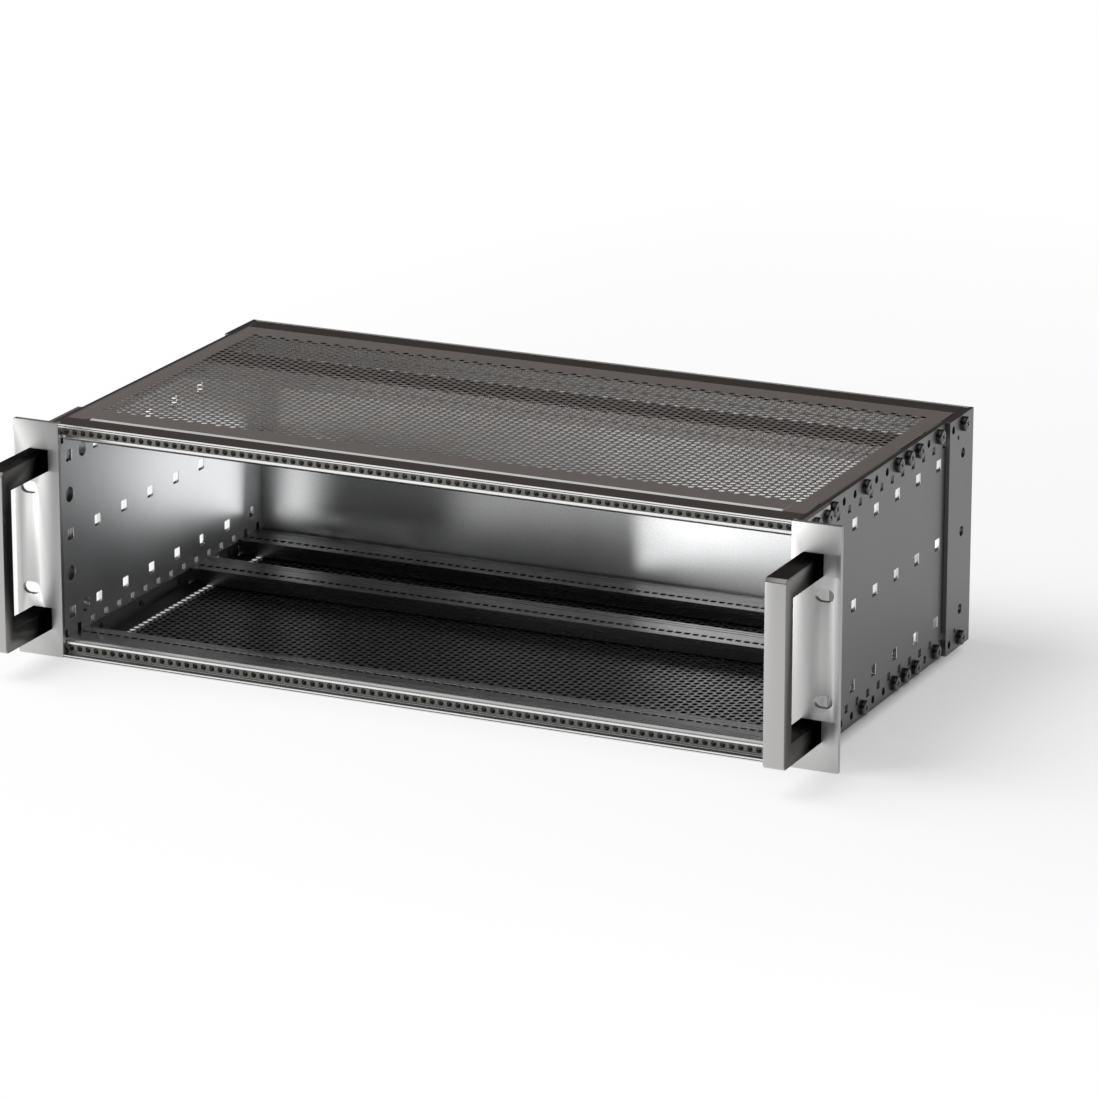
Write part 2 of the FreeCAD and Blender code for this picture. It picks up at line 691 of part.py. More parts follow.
for part_name, face, steps, reach in (
        ("bracket_screws", LEG_FACE, BRACKET_STEPS[:1], "leg_sheet + panel_sheet + screw_bite"),
        ("leg_screws", LEG_FACE, BRACKET_STEPS[1:], "leg_sheet + panel_sheet"),
        ("rail_screws", PANEL_FACE, RAIL_STEPS, "panel_sheet + screw_bite"),
        ("cover_screws", PANEL_FACE, COVER_STEPS, "panel_sheet + cover_sheet * 2"),
        ("rear_plate_screws", LEG_FACE, [REAR_STEP], "leg_sheet + panel_sheet + screw_bite")):
    right = side_screws("right_" + part_name, face, steps, reach)
    pieces += [right, mirrored(right, "left_" + part_name, "x")]

handle_seats = [(f"{HANDLE_LINE} * {side}", "flange_sheet",
                 f"{MIDDLE} + (handle_length - handle_leg) * {up / 2}")
                for side in (-1, 1) for up in (-1, 1)]
pieces.append(screw_group("handle_screws", handle_seats, (0, -1, 0), "screw_head",
                          "screw_head_height", "screw_thread",
                          "flange_sheet + screw_bite"))
rear_seats = [(across, "body_depth", up) for across, up in rear_screw_places()]
pieces.append(screw_group("rear_panel_screws", rear_seats, (0, -1, 0), "rear_head",
                          "rear_head_height", "rear_thread",
                          "rear_sheet + strip_face + strip_sheet"))

doc.recompute()

# Every object has to be sound before any file is written
for thing in doc.Objects:
    if "Invalid" in thing.State or "Error" in thing.State:
        raise RuntimeError(f"{thing.Label} failed to compute")
for piece in pieces:
    if piece.Shape.isNull() or not piece.Shape.isValid():
        raise RuntimeError(f"{piece.Label} has no valid shape")

os.makedirs("parts", exist_ok=True)
for piece in pieces:
    piece.Shape.exportStep(os.path.join("parts", piece.Label + ".step"))
    print(f"{piece.Label}: {len(piece.Shape.Solids)} solids, {piece.Shape.Volume / 1000:.2f} cm3")
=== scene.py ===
import math

import bmesh
import bpy
from mathutils import Euler, Matrix, Vector


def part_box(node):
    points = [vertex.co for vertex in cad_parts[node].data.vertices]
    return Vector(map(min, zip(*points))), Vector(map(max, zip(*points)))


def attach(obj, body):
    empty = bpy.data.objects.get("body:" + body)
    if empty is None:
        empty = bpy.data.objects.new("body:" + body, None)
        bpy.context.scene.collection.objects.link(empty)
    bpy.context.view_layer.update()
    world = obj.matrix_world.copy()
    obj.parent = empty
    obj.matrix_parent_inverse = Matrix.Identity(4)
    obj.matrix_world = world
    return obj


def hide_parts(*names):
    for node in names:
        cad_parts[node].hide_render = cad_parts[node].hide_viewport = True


bl_info = {
    "name": "Card Cage Workshop",
    "version": (1, 0, 0),
    "blender": (4, 5, 0),
    "location": "View3D > Sidebar > Card Cage",
    "description": "Models and finishes the pieces of a card cage around its packed solids",
    "category": "Object",
}

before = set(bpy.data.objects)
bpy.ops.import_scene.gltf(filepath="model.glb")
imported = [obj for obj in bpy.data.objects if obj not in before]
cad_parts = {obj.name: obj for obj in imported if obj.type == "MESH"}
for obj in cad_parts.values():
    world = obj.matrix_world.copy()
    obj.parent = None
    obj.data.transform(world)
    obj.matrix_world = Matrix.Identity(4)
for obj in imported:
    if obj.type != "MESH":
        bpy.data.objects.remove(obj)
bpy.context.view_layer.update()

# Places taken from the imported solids, in metres
PANEL_LOW, PANEL_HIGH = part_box("right_side_panel")
BRACKET_LOW, BRACKET_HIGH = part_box("right_front_bracket")
PLATE_LOW, PLATE_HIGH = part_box("right_rear_plate")
HANDLE_LOW, HANDLE_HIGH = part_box("right_front_handle")
FRONT_RAIL_LOW, FRONT_RAIL_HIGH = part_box("front_bottom_rail")
MID_RAIL_LOW, MID_RAIL_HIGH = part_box("middle_bottom_rail")
REAR_RAIL_LOW, REAR_RAIL_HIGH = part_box("rear_bottom_rail")
STRIP_LOW, STRIP_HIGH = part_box("front_bottom_strip")
REAR_STRIP_LOW, REAR_STRIP_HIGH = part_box("rear_bottom_strip")
COVER_LOW, COVER_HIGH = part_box("bottom_cover")
BACK_LOW, BACK_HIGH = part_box("rear_panel")
FACE = BRACKET_LOW.y
HEIGHT = BRACKET_HIGH.z
MIDDLE = HEIGHT / 2
INNER = PANEL_LOW.x

# Slack for picking faces and edges by their place, and for merging points
NEAR = 0.0001
MERGE = 0.00002

# Turn from one screw's recess to the next, in radians
SCREW_TURN = 2.4

# Broken edges of the pieces, in metres
EDGE_BREAK = {"panel": 0.00018, "bracket": 0.00022, "handle": 0.0003, "plate": 0.0002,
              "rail": 0.00012, "strip": 0.00015, "rear_panel": 0.0003}


def length(label, text, default):
    """A length in metres that a user can change."""
    return bpy.props.FloatProperty(
        name=label, description=text, default=default, min=0, precision=5, unit="LENGTH")


def tint(label, text, default):
    """A colour that a user can change."""
    return bpy.props.FloatVectorProperty(
        name=label, description=text, default=default, size=3, min=0, max=1, subtype="COLOR")


def share(label, text, default):
    """A value from 0 to 1 that a user can change."""
    return bpy.props.FloatProperty(
        name=label, description=text, default=default, min=0, max=1, subtype="FACTOR")


class CageSizes(bpy.types.PropertyGroup):
    """Sizes of the details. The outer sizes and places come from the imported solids"""
    hole_pitch: length("Hole pitch", "Pitch of the holes along a side panel", 0.015)
    screw_hole: length("Screw hole", "Round holes for the screws", 0.0043)
    screw_row: length("Screw row", "Panel edge to the row of round holes", 0.0055)
    key_hole: length("Small square hole", "Side of the small square holes", 0.0042)
    key_row: length("Small square row", "Panel edge to the small square holes", 0.0115)
    grid_hole: length("Large square hole", "Side of the large square holes", 0.0062)
    grid_row: length("Large square rows", "Distance between their rows", 0.04445)
    access_hole: length("Access hole", "Round holes behind the brackets", 0.0082)
    slot_length: length("Rack slot", "Length of a rack slot", 0.0103)
    slot_width: length("Rack slot width", "Width of a rack slot", 0.0068)
    slot_spacing: length("Rack slot spacing", "Lower to upper rack slot", 0.05715)
    slot_edge: length("Rack slot edge", "Flange edge to the middle of a slot", 0.00875)
    flange: length("Flange", "Thickness of the mounting flange", 0.003)
    handle_leg: length("Handle leg", "Height of a handle leg", 0.012)
    handle_grip: length("Handle grip", "Grip, front to back", 0.010)
    handle_inner: length("Handle side", "Middle of the cage to the handle's inner side", 0.2203)
    handle_width: length("Handle width", "Width of the handle's flat bar", 0.0116)
    handle_corner: length("Handle corner", "Chamfer of the handle's outer corners", 0.002)
    plate_hole: length("Plate hole", "Round holes in the rear side plates", 0.0055)
    pin_hole: length("Pin hole", "Locating holes in the rear side plates", 0.0025)
    unit_pitch: length("Unit pitch", "One horizontal unit", 0.00508)
    tapped_hole: length("Tapped hole", "Holes of the threaded strips", 0.003)
    guide_slot: length("Guide slot", "Guide slot, along the rail", 0.0034)
    guide_slot_width: length("Guide slot width", "Guide slot, across the rail", 0.003)
    rail_web: length("Rail web", "Upper wall of a rail", 0.0016)
    rail_lip: length("Rail lip", "Thickness of the lips along a rail", 0.0015)
    rail_lip_drop: length("Rail lip height", "Height of those lips", 0.004)
    rail_face: length("Rail face", "Outer face of a rail beside the cover", 0.0134)
    channel_wall: length("Channel wall", "Front screw row to the front rail's hollow", 0.003)
    outer_lip: length("Outer lip", "Outer lip of the front and rear rails", 0.00195)
    strip_bevel: length("Strip bevel", "Bevel above the threaded strip", 0.0016)
    front_guide: length("Front guide row", "Flange face to the front guide slots", 0.020)
    middle_guide: length("Middle guide row", "Rail front to the middle guide slots", 0.007)
    rear_guide: length("Rear guide row", "Rail front to the rear guide slots", 0.0068)
    foot: length("Rail foot", "Height of an inner rail's front foot", 0.0059)
    foot_step: length("Foot step", "Set-back of that foot", 0.0006)
    inner_wall: length("Inner rail wall", "Front wall of an inner rail", 0.005)
    hollow: length("Rail hollow", "Rail front to the back of its hollow", 0.0125)
    heel: length("Rail heel", "Middle rail's heel, front to back", 0.0044)
    heel_height: length("Rail heel height", "Height of that heel", 0.0045)
    groove: length("Fine groove", "Width of the fine grooves on the rails", 0.0006)
    groove_step: length("Groove step", "Between the front rail's front grooves", 0.00235)
    front_groove: length("Front grooves", "Flange face to the last front groove", 0.0110)
    back_groove: length("Back groove", "Flange face to the front rail's back groove", 0.0242)
    middle_groove: length("Middle groove", "Middle rail's front to its last groove", 0.0212)
    middle_groove_step: length("Middle groove step", "Between the middle rail's grooves", 0.0035)
    rear_groove: length("Rear groove", "Rear rail's front to its groove", 0.0202)
    sheet: length("Cover sheet", "Thickness of a cover", 0.001)
    vent_sheet: length("Vent sheet", "Thickness of the perforated field", 0.0003)
    vent: length("Vent hole", "Round holes of the covers", 0.0038)
    vent_pitch: length("Vent pitch", "Pitch of the cover's holes, front to back", 0.005)
    vent_front: length("Vent field", "Flange face to the middle of the first vent", 0.0344)
    front_slit: length("Front slit", "Set-back of a cover's front edge", 0.0022)
    slit_end: length("Slit end", "End of the vent field to the end of the front slit", 0.0028)
    slit_chamfer: length("Slit chamfer", "Chamfer of the cover's front edge", 0.0009)
    bend: length("Cover bend", "Outer bend radius of a cover's folds", 0.001)
    cover_play: length("Cover play", "Play between a cover and a side panel", 0.0006)
    relief: length("Fold relief", "Relief notch at each end of a fold or slit", 0.0016)
    fold_start: length("Fold start", "Back of a rail to the start of a fold", 0.006)
    fold_end: length("Fold end", "End of a fold to the next rail", 0.0018)
    screw_head: length("Screw head", "Diameter of a screw head", 0.0082)
    screw_head_height: length("Screw head height", "Height of a screw head", 0.0026)
    screw_thread: length("Screw shank", "Diameter of a screw shank", 0.003)
    long_screw: length("Long screw", "Shank of a screw into a rail or handle", 0.010)
    short_screw: length("Short screw", "Shank of a screw through two sheets", 0.0042)
    rear_head: length("Rear screw head", "Diameter of a rear panel screw's head", 0.005)
    rear_head_height: length("Rear screw head height", "Height of that head", 0.0017)
    rear_thread: length("Rear screw shank", "Diameter of its shank", 0.0022)
    rear_screw: length("Rear screw length", "Length of its shank", 0.006)
    rear_screw_inset: length("Rear screw inset", "Side panel to the outer screws", 0.0127)
    seat_gap: length("Seat gap", "Play between pieces that meet", 0.00005)
    vent_columns: bpy.props.IntProperty(
        name="Vent columns", description="Columns of holes in a cover", default=95, min=1)
    vent_rows: bpy.props.IntProperty(
        name="Vent rows", description="Holes in a column of a cover", default=36, min=1)
    unit_count: bpy.props.IntProperty(
        name="Units", description="Number of horizontal units", default=84, min=1)


class CageFinish(bpy.types.PropertyGroup):
    """Colours and finishes of the pieces, several of them painted light and shade"""
    # Painted light and shade among these: grip lighter than handle sides, bright rail fronts,
    # dark inner rails, pale inner and dark outer panels, dark covers and strips, near-white edges
    flange_colour: tint("Flange", "Satin aluminium of the brackets", (0.54, 0.537, 0.534))
    grip_painted_light_colour: tint("Grip", "Brushed front of the handles", (0.48, 0.475, 0.47))
    handle_painted_shade_colour: tint("Handle", "Sides of the handles", (0.25, 0.245, 0.241))
    lip_painted_highlight_colour: tint("Lips", "Front faces of the front rails", (0.85, 0.85, 0.85))
    inner_rail_painted_shade_colour: tint("Inner rails", "Rails inside the bay", (0.23, 0.23, 0.23))
    cover_inside_painted_shade_colour: tint("Cover inside", "Inner faces of the covers", (0.22, 0.218, 0.215))
    rail_colour: tint("Rail", "Bright aluminium of the rails", (0.40, 0.397, 0.394))
    panel_painted_shade_colour: tint("Panel outside", "Outer faces of the side panels", (0.19, 0.192, 0.191))
    inside_painted_light_colour: tint("Panel inside", "Inner faces of the side panels", (0.80, 0.81, 0.82))
    cover_painted_reflection_colour: tint("Cover", "Sheet of the covers", (0.325, 0.31, 0.301))
    back_colour: tint("Rear panel", "Inner face of the rear panel", (0.90, 0.905, 0.91))
    strip_painted_shade_colour: tint("Strip", "Plated threaded strips", (0.16, 0.155, 0.145))
    screw_colour: tint("Screw", "Blackened screws", (0.09, 0.09, 0.092))
    edge_painted_highlight_colour: tint("Cut edge", "Bare edges that catch the light", (0.9, 0.9, 0.9))
    satin: share("Satin", "Roughness of the satin aluminium", 0.34)
    screw_shine: share("Screw roughness", "Roughness of the screws", 0.24)
    # Painted shade: the handle's legs are darkened towards the flange between the two depths
    # below
    painted_shade_dark: share("Handle shade", "Tone of the handle's legs at the flange", 0.08)
    painted_shade_start: length("Shade start", "Flange face to the start of that shade", 0.030)
    painted_shade_end: length("Shade end", "Flange face to the end of that shade", 0.009)


class StageSettings(bpy.types.PropertyGroup):
    """Camera, floor and light"""
    lens: bpy.props.FloatProperty(
        name="Lens", description="Focal length in millimetres", default=192.7525)
    camera_place: bpy.props.FloatVectorProperty(
        name="Camera", description="Place of the camera", size=3, subtype="TRANSLATION",
        default=(1.308935, -2.745385, 0.993001))
    camera_turn: bpy.props.FloatVectorProperty(
        name="Camera turn", description="Turn of the camera", size=3, subtype="EULER",
        default=(1.274085, -0.000628, 0.435185))
    floor_colour: tint("Floor", "Pale floor", (0.86, 0.86, 0.86))
    key_power: bpy.props.FloatProperty(
        name="Key light", description="Power of the large overhead softbox", default=120.0)
    low_power: bpy.props.FloatProperty(
        name="Low light", description="Power of the softbox low at the left", default=14.0)
    bay_power: bpy.props.FloatProperty(
        name="Bay lights", description="Power of the small lights of the bay", default=0.05)
    key_place: bpy.props.FloatVectorProperty(
        name="Key place", description="Place of the overhead softbox", size=3,
        subtype="TRANSLATION", default=(-1.8, -0.8, 2.6))
    gleam: share("Gleam", "Part of the key light's power that glossy faces see", 0.35)
    key_size: length("Key size", "Side of the overhead softbox", 2.4)
    low_place: bpy.props.FloatVectorProperty(
        name="Low place", description="Place of the low softbox", size=3,
        subtype="TRANSLATION", default=(-1.5, -1.2, 0.07))
    low_size: bpy.props.FloatVectorProperty(
        name="Low size", description="Width and height of the low softbox", size=2,
        default=(0.5, 0.2))
    low_aim: bpy.props.FloatVectorProperty(
        name="Low aim", description="Point that the low softbox shines at", size=3,
        subtype="TRANSLATION", default=(0, 0.1, 0.05))
    floor_size: length("Floor size", "Side of the floor", 24.0)
    bay_spread: bpy.props.FloatProperty(
        name="Bay spread", description="Angle that the small lights shine in",
        default=math.radians(60), subtype="ANGLE")
    shade_across: bpy.props.FloatVectorProperty(
        name="Shade across", description="Left and right edge of the shade on the floor",
        size=2, default=(-0.2, 0.215))
    shade_along: bpy.props.FloatVectorProperty(
        name="Shade along", description="Front and rear edge of the shade on the floor",
        size=2, default=(-0.06, 0.12))
    shade_rate: bpy.props.FloatProperty(
        name="Shade rate", description="How much faster the shade ends in front", default=3.0)
    horizon: bpy.props.FloatProperty(
        name="Horizon", description="Strength of the bright band low in front", default=0.3)


def sizes():
    """The sizes that the panel shows."""
    return bpy.context.scene.cage_sizes


def finishes():
    """The colours and finishes that the panel shows."""
    return bpy.context.scene.cage_finish


# Modelling tools

def only(*things):
    """Leave just these objects selected, the first one active."""
    bpy.ops.object.select_all(action="DESELECT")
    for thing in things:
        thing.select_set(True)
    bpy.context.view_layer.objects.active = things[0]


def named(name):
    """The active object, with this name for it and its mesh."""
    thing = bpy.context.active_object
    thing.name = name
    thing.data.name = name
    return thing


def settle():
    """Move the active object's place, turn and scale into its mesh."""
    bpy.ops.object.transform_apply(location=True, rotation=True, scale=True)


def block(name, low, high):
    """A block between two corners."""
    low, high = Vector(low), Vector(high)
    bpy.ops.object.select_all(action="DESELECT")
    bpy.ops.mesh.primitive_cube_add(size=1, location=(low + high) / 2, scale=high - low)
    settle()
    return named(name)


def rod(name, middle, axis, radius, reach, sides):
    """A round bar along an axis, with its middle at a point."""
    turn = {"X": (0, math.pi / 2, 0), "Y": (math.pi / 2, 0, 0), "Z": (0, 0, 0)}[axis]
    bpy.ops.object.select_all(action="DESELECT")
    bpy.ops.mesh.primitive_cone_add(
        vertices=sides, radius1=radius, radius2=radius, depth=reach, location=middle,
        rotation=turn)
    settle()
    return named(name)


def extrusion(name, outline, axis, low, high):
    """A bar with an outline of points, which are (Y, Z), (X, Z) or (X, Y) for axis X, Y or Z."""
    place = {"X": lambda a, b: Vector((low, a, b)), "Y": lambda a, b: Vector((a, low, b)),
             "Z": lambda a, b: Vector((a, b, low))}[axis]
    along = {"X": Vector((1, 0, 0)), "Y": Vector((0, 1, 0)), "Z": Vector((0, 0, 1))}[axis]
    spots = [place(a, b) for a, b in outline]
    bpy.ops.object.select_all(action="DESELECT")
    bpy.ops.mesh.primitive_plane_add(size=0.001, location=spots[0])
    settle()
    bpy.ops.object.mode_set(mode="EDIT")
    bpy.ops.mesh.select_mode(type="VERT")
    bpy.ops.mesh.merge(type="CENTER")
    for before, after in zip(spots, spots[1:]):
        bpy.ops.mesh.extrude_vertices_move(TRANSFORM_OT_translate={"value": after - before})
    bpy.ops.mesh.select_all(action="SELECT")
    bpy.ops.mesh.edge_face_add()
    bpy.ops.mesh.extrude_region_move(
        TRANSFORM_OT_translate={"value": along * (high - low)})
    bpy.ops.mesh.select_all(action="SELECT")
    bpy.ops.mesh.normals_make_consistent(inside=False)
    bpy.ops.object.mode_set(mode="OBJECT")
    return named(name)


def arc(across, up, radius, start, end, steps):
    """Points on a round corner, with the angles in degrees."""
    points = []
    for k in range(steps + 1):
        angle = math.radians(start + (end - start) * k / steps)
        points.append((across + radius * math.cos(angle), up + radius * math.sin(angle)))
    return points


def pick(thing, kind, test):
    """In edit mode, select just the vertices, edges or faces whose middle passes a test."""
    bpy.ops.mesh.select_mode(type=kind)
    bpy.ops.mesh.select_all(action="DESELECT")
    mesh = bmesh.from_edit_mesh(thing.data)
    if kind == "VERT":
        parts = [(part, part.co) for part in mesh.verts]
    elif kind == "EDGE":
        parts = [(part, (part.verts[0].co + part.verts[1].co) / 2) for part in mesh.edges]
    else:
        parts = [(part, part.calc_center_median()) for part in mesh.faces]
    for part, middle in parts:
        part.select_set(bool(test(part, middle)))
    bmesh.update_edit_mesh(thing.data)


def modified(thing, kind, **settings):
    """The thing with a modifier of that kind applied."""
    only(thing)
    bpy.ops.object.modifier_add(type=kind)
    modifier = thing.modifiers[-1]
    for word, value in settings.items():
        setattr(modifier, word, value)
    bpy.ops.object.modifier_apply(modifier=modifier.name)
    return thing


def row(thing, step, count):
    """The thing repeated in a row."""
    return modified(thing, "ARRAY", use_relative_offset=False, use_constant_offset=True,
                    constant_offset_displace=step, count=count)


def joined(name, *things):
    """The things as one object."""
    only(*things)
    if len(things) > 1:
        bpy.ops.object.join()
    return named(name)


def cut(piece, *cutters):
    """The piece with the cutters taken out of it."""
    tool = joined("cutter", *cutters)
    modified(piece, "BOOLEAN", operation="DIFFERENCE", solver="EXACT", object=tool)
    only(tool)
    bpy.ops.object.delete()
    return piece


def softened(piece, width, segments=1, angle=35):
    """The piece with its sharp edges broken."""
    return modified(piece, "BEVEL", width=width, segments=segments, limit_method="ANGLE",
                    angle_limit=math.radians(angle), harden_normals=False)


def smooth(piece, angle=30):
    """The piece shaded smooth, but for its sharper edges."""
    only(piece)
    bpy.ops.object.shade_smooth_by_angle(angle=math.radians(angle))
    return piece


def mirrored(piece, name, axis, middle=0.0):
    """A copy of the piece on the other side of a plane square to the axis."""
    only(piece)
    bpy.ops.object.duplicate()
    copy = named(name)
    centre = [middle if axis == letter else 0 for letter in "XYZ"]
    factor = [-1 if axis == letter else 1 for letter in "XYZ"]
    bpy.ops.object.mode_set(mode="EDIT")
    bpy.ops.mesh.select_all(action="SELECT")
    bpy.ops.transform.resize(value=factor, center_override=centre)
    bpy.ops.mesh.flip_normals()
    bpy.ops.object.mode_set(mode="OBJECT")
    return copy


def moved(thing, offset):
    """The thing moved, with its place in its mesh."""
    only(thing)
    bpy.ops.transform.translate(value=offset)
    settle()
    return thing


def paint(piece, *materials):
    """Give the piece its materials, the first one on all its faces."""
    piece.data.materials.clear()
    for material in materials:
        piece.data.materials.append(material)


def seat(piece, node):
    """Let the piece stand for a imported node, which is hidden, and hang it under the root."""
    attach(piece, "root")
    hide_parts(node)
    return piece


def seat_pair(piece, node, name, other_node, axis="X", middle=0.0):
    """Seat the piece and its mirror image, which gets its own name and node."""
    other = mirrored(piece, name, axis, middle)
    seat(piece, node)
    seat(other, other_node)


def depth(step):
    """The place of a step of the hole pitch, counted from the flange face."""
    return FACE + sizes().hole_pitch * step


# Materials

def put(tree, kind, *inputs, **settings):
    """A new node with its settings, and its inputs linked or set in order. None skips one."""
    node = tree.nodes.new(kind)
    for word, value in settings.items():
        setattr(node, word, value)
    for socket, value in zip(node.inputs, inputs):
        if isinstance(value, bpy.types.NodeSocket):
            tree.links.new(value, socket)
        elif value is not None:
            socket.default_value = value
    return node


def maths(tree, operation, *inputs):
    """The output of a new Math node."""
    return put(tree, "ShaderNodeMath", *inputs, operation=operation).outputs[0]


def scaled(tree, vector, factor):
    """The output of a new Vector Math node that scales."""
    return put(tree, "ShaderNodeVectorMath", vector, None, None, factor,
               operation="SCALE").outputs[0]


def worked_metal_group():
    """Node group that gives worked metal its grain, uneven tone, roughness and fine relief."""
    name = "Worked metal"
    if name in bpy.data.node_groups:
        return bpy.data.node_groups[name]
    group = bpy.data.node_groups.new(name, "ShaderNodeTree")
    face = group.interface
    for label, kind, default in (
            ("Colour", "NodeSocketColor", (0.6, 0.6, 0.6, 1)),
            ("Tone spread", "NodeSocketFloat", 0.1),
            ("Roughness", "NodeSocketFloat", 0.35),
            ("Roughness spread", "NodeSocketFloat", 0.1),
            ("Grain stretch", "NodeSocketVector", (1, 1, 1)),
            ("Grain scale", "NodeSocketFloat", 900.0),
            ("Mottle scale", "NodeSocketFloat", 14.0),
            ("Relief", "NodeSocketFloat", 0.00002)):
        socket = face.new_socket(name=label, in_out="INPUT", socket_type=kind)
        socket.default_value = default
    for label, kind in (("Colour", "NodeSocketColor"), ("Roughness", "NodeSocketFloat"),
                        ("Normal", "NodeSocketVector")):
        face.new_socket(name=label, in_out="OUTPUT", socket_type=kind)
    given = put(group, "NodeGroupInput").outputs
    result = put(group, "NodeGroupOutput").inputs
    place = put(group, "ShaderNodeTexCoord").outputs["Object"]
    stretched = put(group, "ShaderNodeVectorMath", place, given["Grain stretch"],
                    operation="MULTIPLY").outputs[0]
    grain = put(group, "ShaderNodeTexNoise", stretched, None, given["Grain scale"],
                3).outputs["Fac"]
    mottle = put(group, "ShaderNodeTexNoise", place, None, given["Mottle scale"],
                 4).outputs["Fac"]

    # The two noises lie round 0.5 each, so their sum less 1 lies round 0
    uneven = maths(group, "SUBTRACT", maths(group, "ADD", grain, mottle), 1)
    tone = maths(group, "MULTIPLY_ADD", uneven, given["Tone spread"], 1)
    group.links.new(scaled(group, given["Colour"], tone), result["Colour"])
    polish = maths(group, "MULTIPLY_ADD", uneven, given["Roughness spread"], 1)
    group.links.new(maths(group, "MULTIPLY", given["Roughness"], polish), result["Roughness"])
    relief = put(group, "ShaderNodeBump")
    relief.inputs["Strength"].default_value = 1
    group.links.new(grain, relief.inputs["Height"])
    group.links.new(given["Relief"], relief.inputs["Distance"])
    group.links.new(relief.outputs["Normal"], result["Normal"])
    return group


def metal(name, colour, roughness, stretch=(1, 1, 1), tone=0.06, rough_spread=0.15,
          grain=2500.0, mottle=14.0, relief=0.0000015, edge=1.0, painted_shade=None):
    """A worked metal, its grain stretched along the axis whose factor is small.

    Edge is its gloss at a flat angle. With a painted shade its colour darkens between two depths
    of the cage, standing in for shade that falls there.
    """
    if name in bpy.data.materials:
        return bpy.data.materials[name]
    material = bpy.data.materials.new(name)
    material.use_nodes = True
    tree = material.node_tree
    shader = tree.nodes["Principled BSDF"]
    shader.inputs["Metallic"].default_value = 1.0
    shader.inputs["Specular Tint"].default_value = (edge, edge, edge, 1)
    worked = tree.nodes.new("ShaderNodeGroup")
    worked.node_tree = worked_metal_group()
    for word, value in (("Colour", (*colour, 1)), ("Tone spread", tone),
                        ("Roughness", roughness), ("Roughness spread", rough_spread),
                        ("Grain stretch", stretch), ("Grain scale", grain),
                        ("Mottle scale", mottle), ("Relief", relief)):
        worked.inputs[word].default_value = value
    colour_out = worked.outputs["Colour"]
    # Painted shade: the colour is scaled down between two depths of the cage
    if painted_shade:
        place = put(tree, "ShaderNodeTexCoord").outputs["Object"]
        split = put(tree, "ShaderNodeSeparateXYZ", place)
        level = put(tree, "ShaderNodeMapRange", split.outputs["Y"], *painted_shade, 1,
                    finishes().painted_shade_dark, interpolation_type="SMOOTHSTEP")
        colour_out = scaled(tree, colour_out, level.outputs[0])
    tree.links.new(colour_out, shader.inputs["Base Color"])
    tree.links.new(worked.outputs["Roughness"], shader.inputs["Roughness"])
    tree.links.new(worked.outputs["Normal"], shader.inputs["Normal"])
    return material


# Grain drawn out along an axis
ALONG_X = (0.02, 1, 1)
ALONG_Z = (1, 1, 0.02)


def flange_metal():
    """Satin aluminium, drawn upwards."""
    return metal("satin_flange", finishes().flange_colour, finishes().satin * 1.4, ALONG_Z)


def grip_painted_light_metal():
    """Brushed front of a handle, painted lighter than its sides: painted light."""
    return metal("brushed_grip_painted_light", finishes().grip_painted_light_colour, finishes().satin * 0.9, ALONG_Z)


def handle_painted_shade_metal():
    """Sides of a handle, painted darker than its front as painted shade, with more painted shade
    where its legs meet the flange.
    """
    return metal("handle_side_painted_shade", finishes().handle_painted_shade_colour, finishes().satin * 0.9,
                 edge=0.15, painted_shade=(FACE - finishes().painted_shade_start, FACE - finishes().painted_shade_end))


def rail_metal():
    """Bright aluminium of the front rails."""
    return metal("bright_rail", finishes().rail_colour, finishes().satin * 0.65, ALONG_X,
                 tone=0.03, relief=0.0000002)


def lip_painted_highlight_metal():
    """Front faces of the front rails, painted brighter than the rest of the rail: painted
    highlight.
    """
    return metal("lip_painted_highlight", finishes().lip_painted_highlight_colour, finishes().satin * 0.6, ALONG_X,
                 tone=0.03, relief=0.0000002)


def inner_rail_painted_shade_metal():
    """Rails inside the bay, painted darker than the front rails: painted shade."""
    return metal("inner_rail", finishes().inner_rail_painted_shade_colour, finishes().satin * 0.8, ALONG_X,
                 tone=0.03, relief=0.0000002)


def panel_painted_shade_metal():
    """Satin of the outer sides, painted dark: painted shade standing in for a dark reflection."""
    return metal("panel_outside_painted_shade", finishes().panel_painted_shade_colour, finishes().satin * 1.2)


def inside_painted_light_metal():
    """Slightly rough inner face of a side panel, painted pale: painted light."""
    return metal("panel_inside_painted_light", finishes().inside_painted_light_colour, finishes().satin * 1.4, grain=1200,
                 tone=0.25, relief=0.000003)


def cover_painted_reflection_metal():
    """Warm sheet of the covers, painted dark: painted shade standing in for a dark reflection."""
    return metal("cover_sheet", finishes().cover_painted_reflection_colour, finishes().satin * 0.6, edge=0.5)


def cover_inside_painted_shade_metal():
    """Inner faces of the covers, painted darker still: painted shade."""
    return metal("cover_inside", finishes().cover_inside_painted_shade_colour, finishes().satin * 0.9)


def edge_painted_highlight_metal():
    """Cut edges and hole walls, painted near white: painted highlight."""
    return metal("cut_edge_painted_highlight", finishes().edge_painted_highlight_colour, finishes().satin * 0.7, ALONG_X)


def back_metal():
    """Pale mottled sheet of the rear panel."""
    return metal("rear_panel_metal", finishes().back_colour, finishes().satin * 1.7,
                 grain=1200, tone=0.4, relief=0.000003)


def strip_painted_shade_metal():
    """Plated steel of the threaded strips, painted dark: painted shade of the groove they sit in.
    """
    return metal("plated_strip_painted_shade", finishes().strip_painted_shade_colour, finishes().satin, ALONG_X)


def screw_metal():
    """Blackened steel of the screws."""
    return metal("blackened_screw", finishes().screw_colour, finishes().screw_shine,
                 tone=0.2)


# Operators: one for each group of like pieces

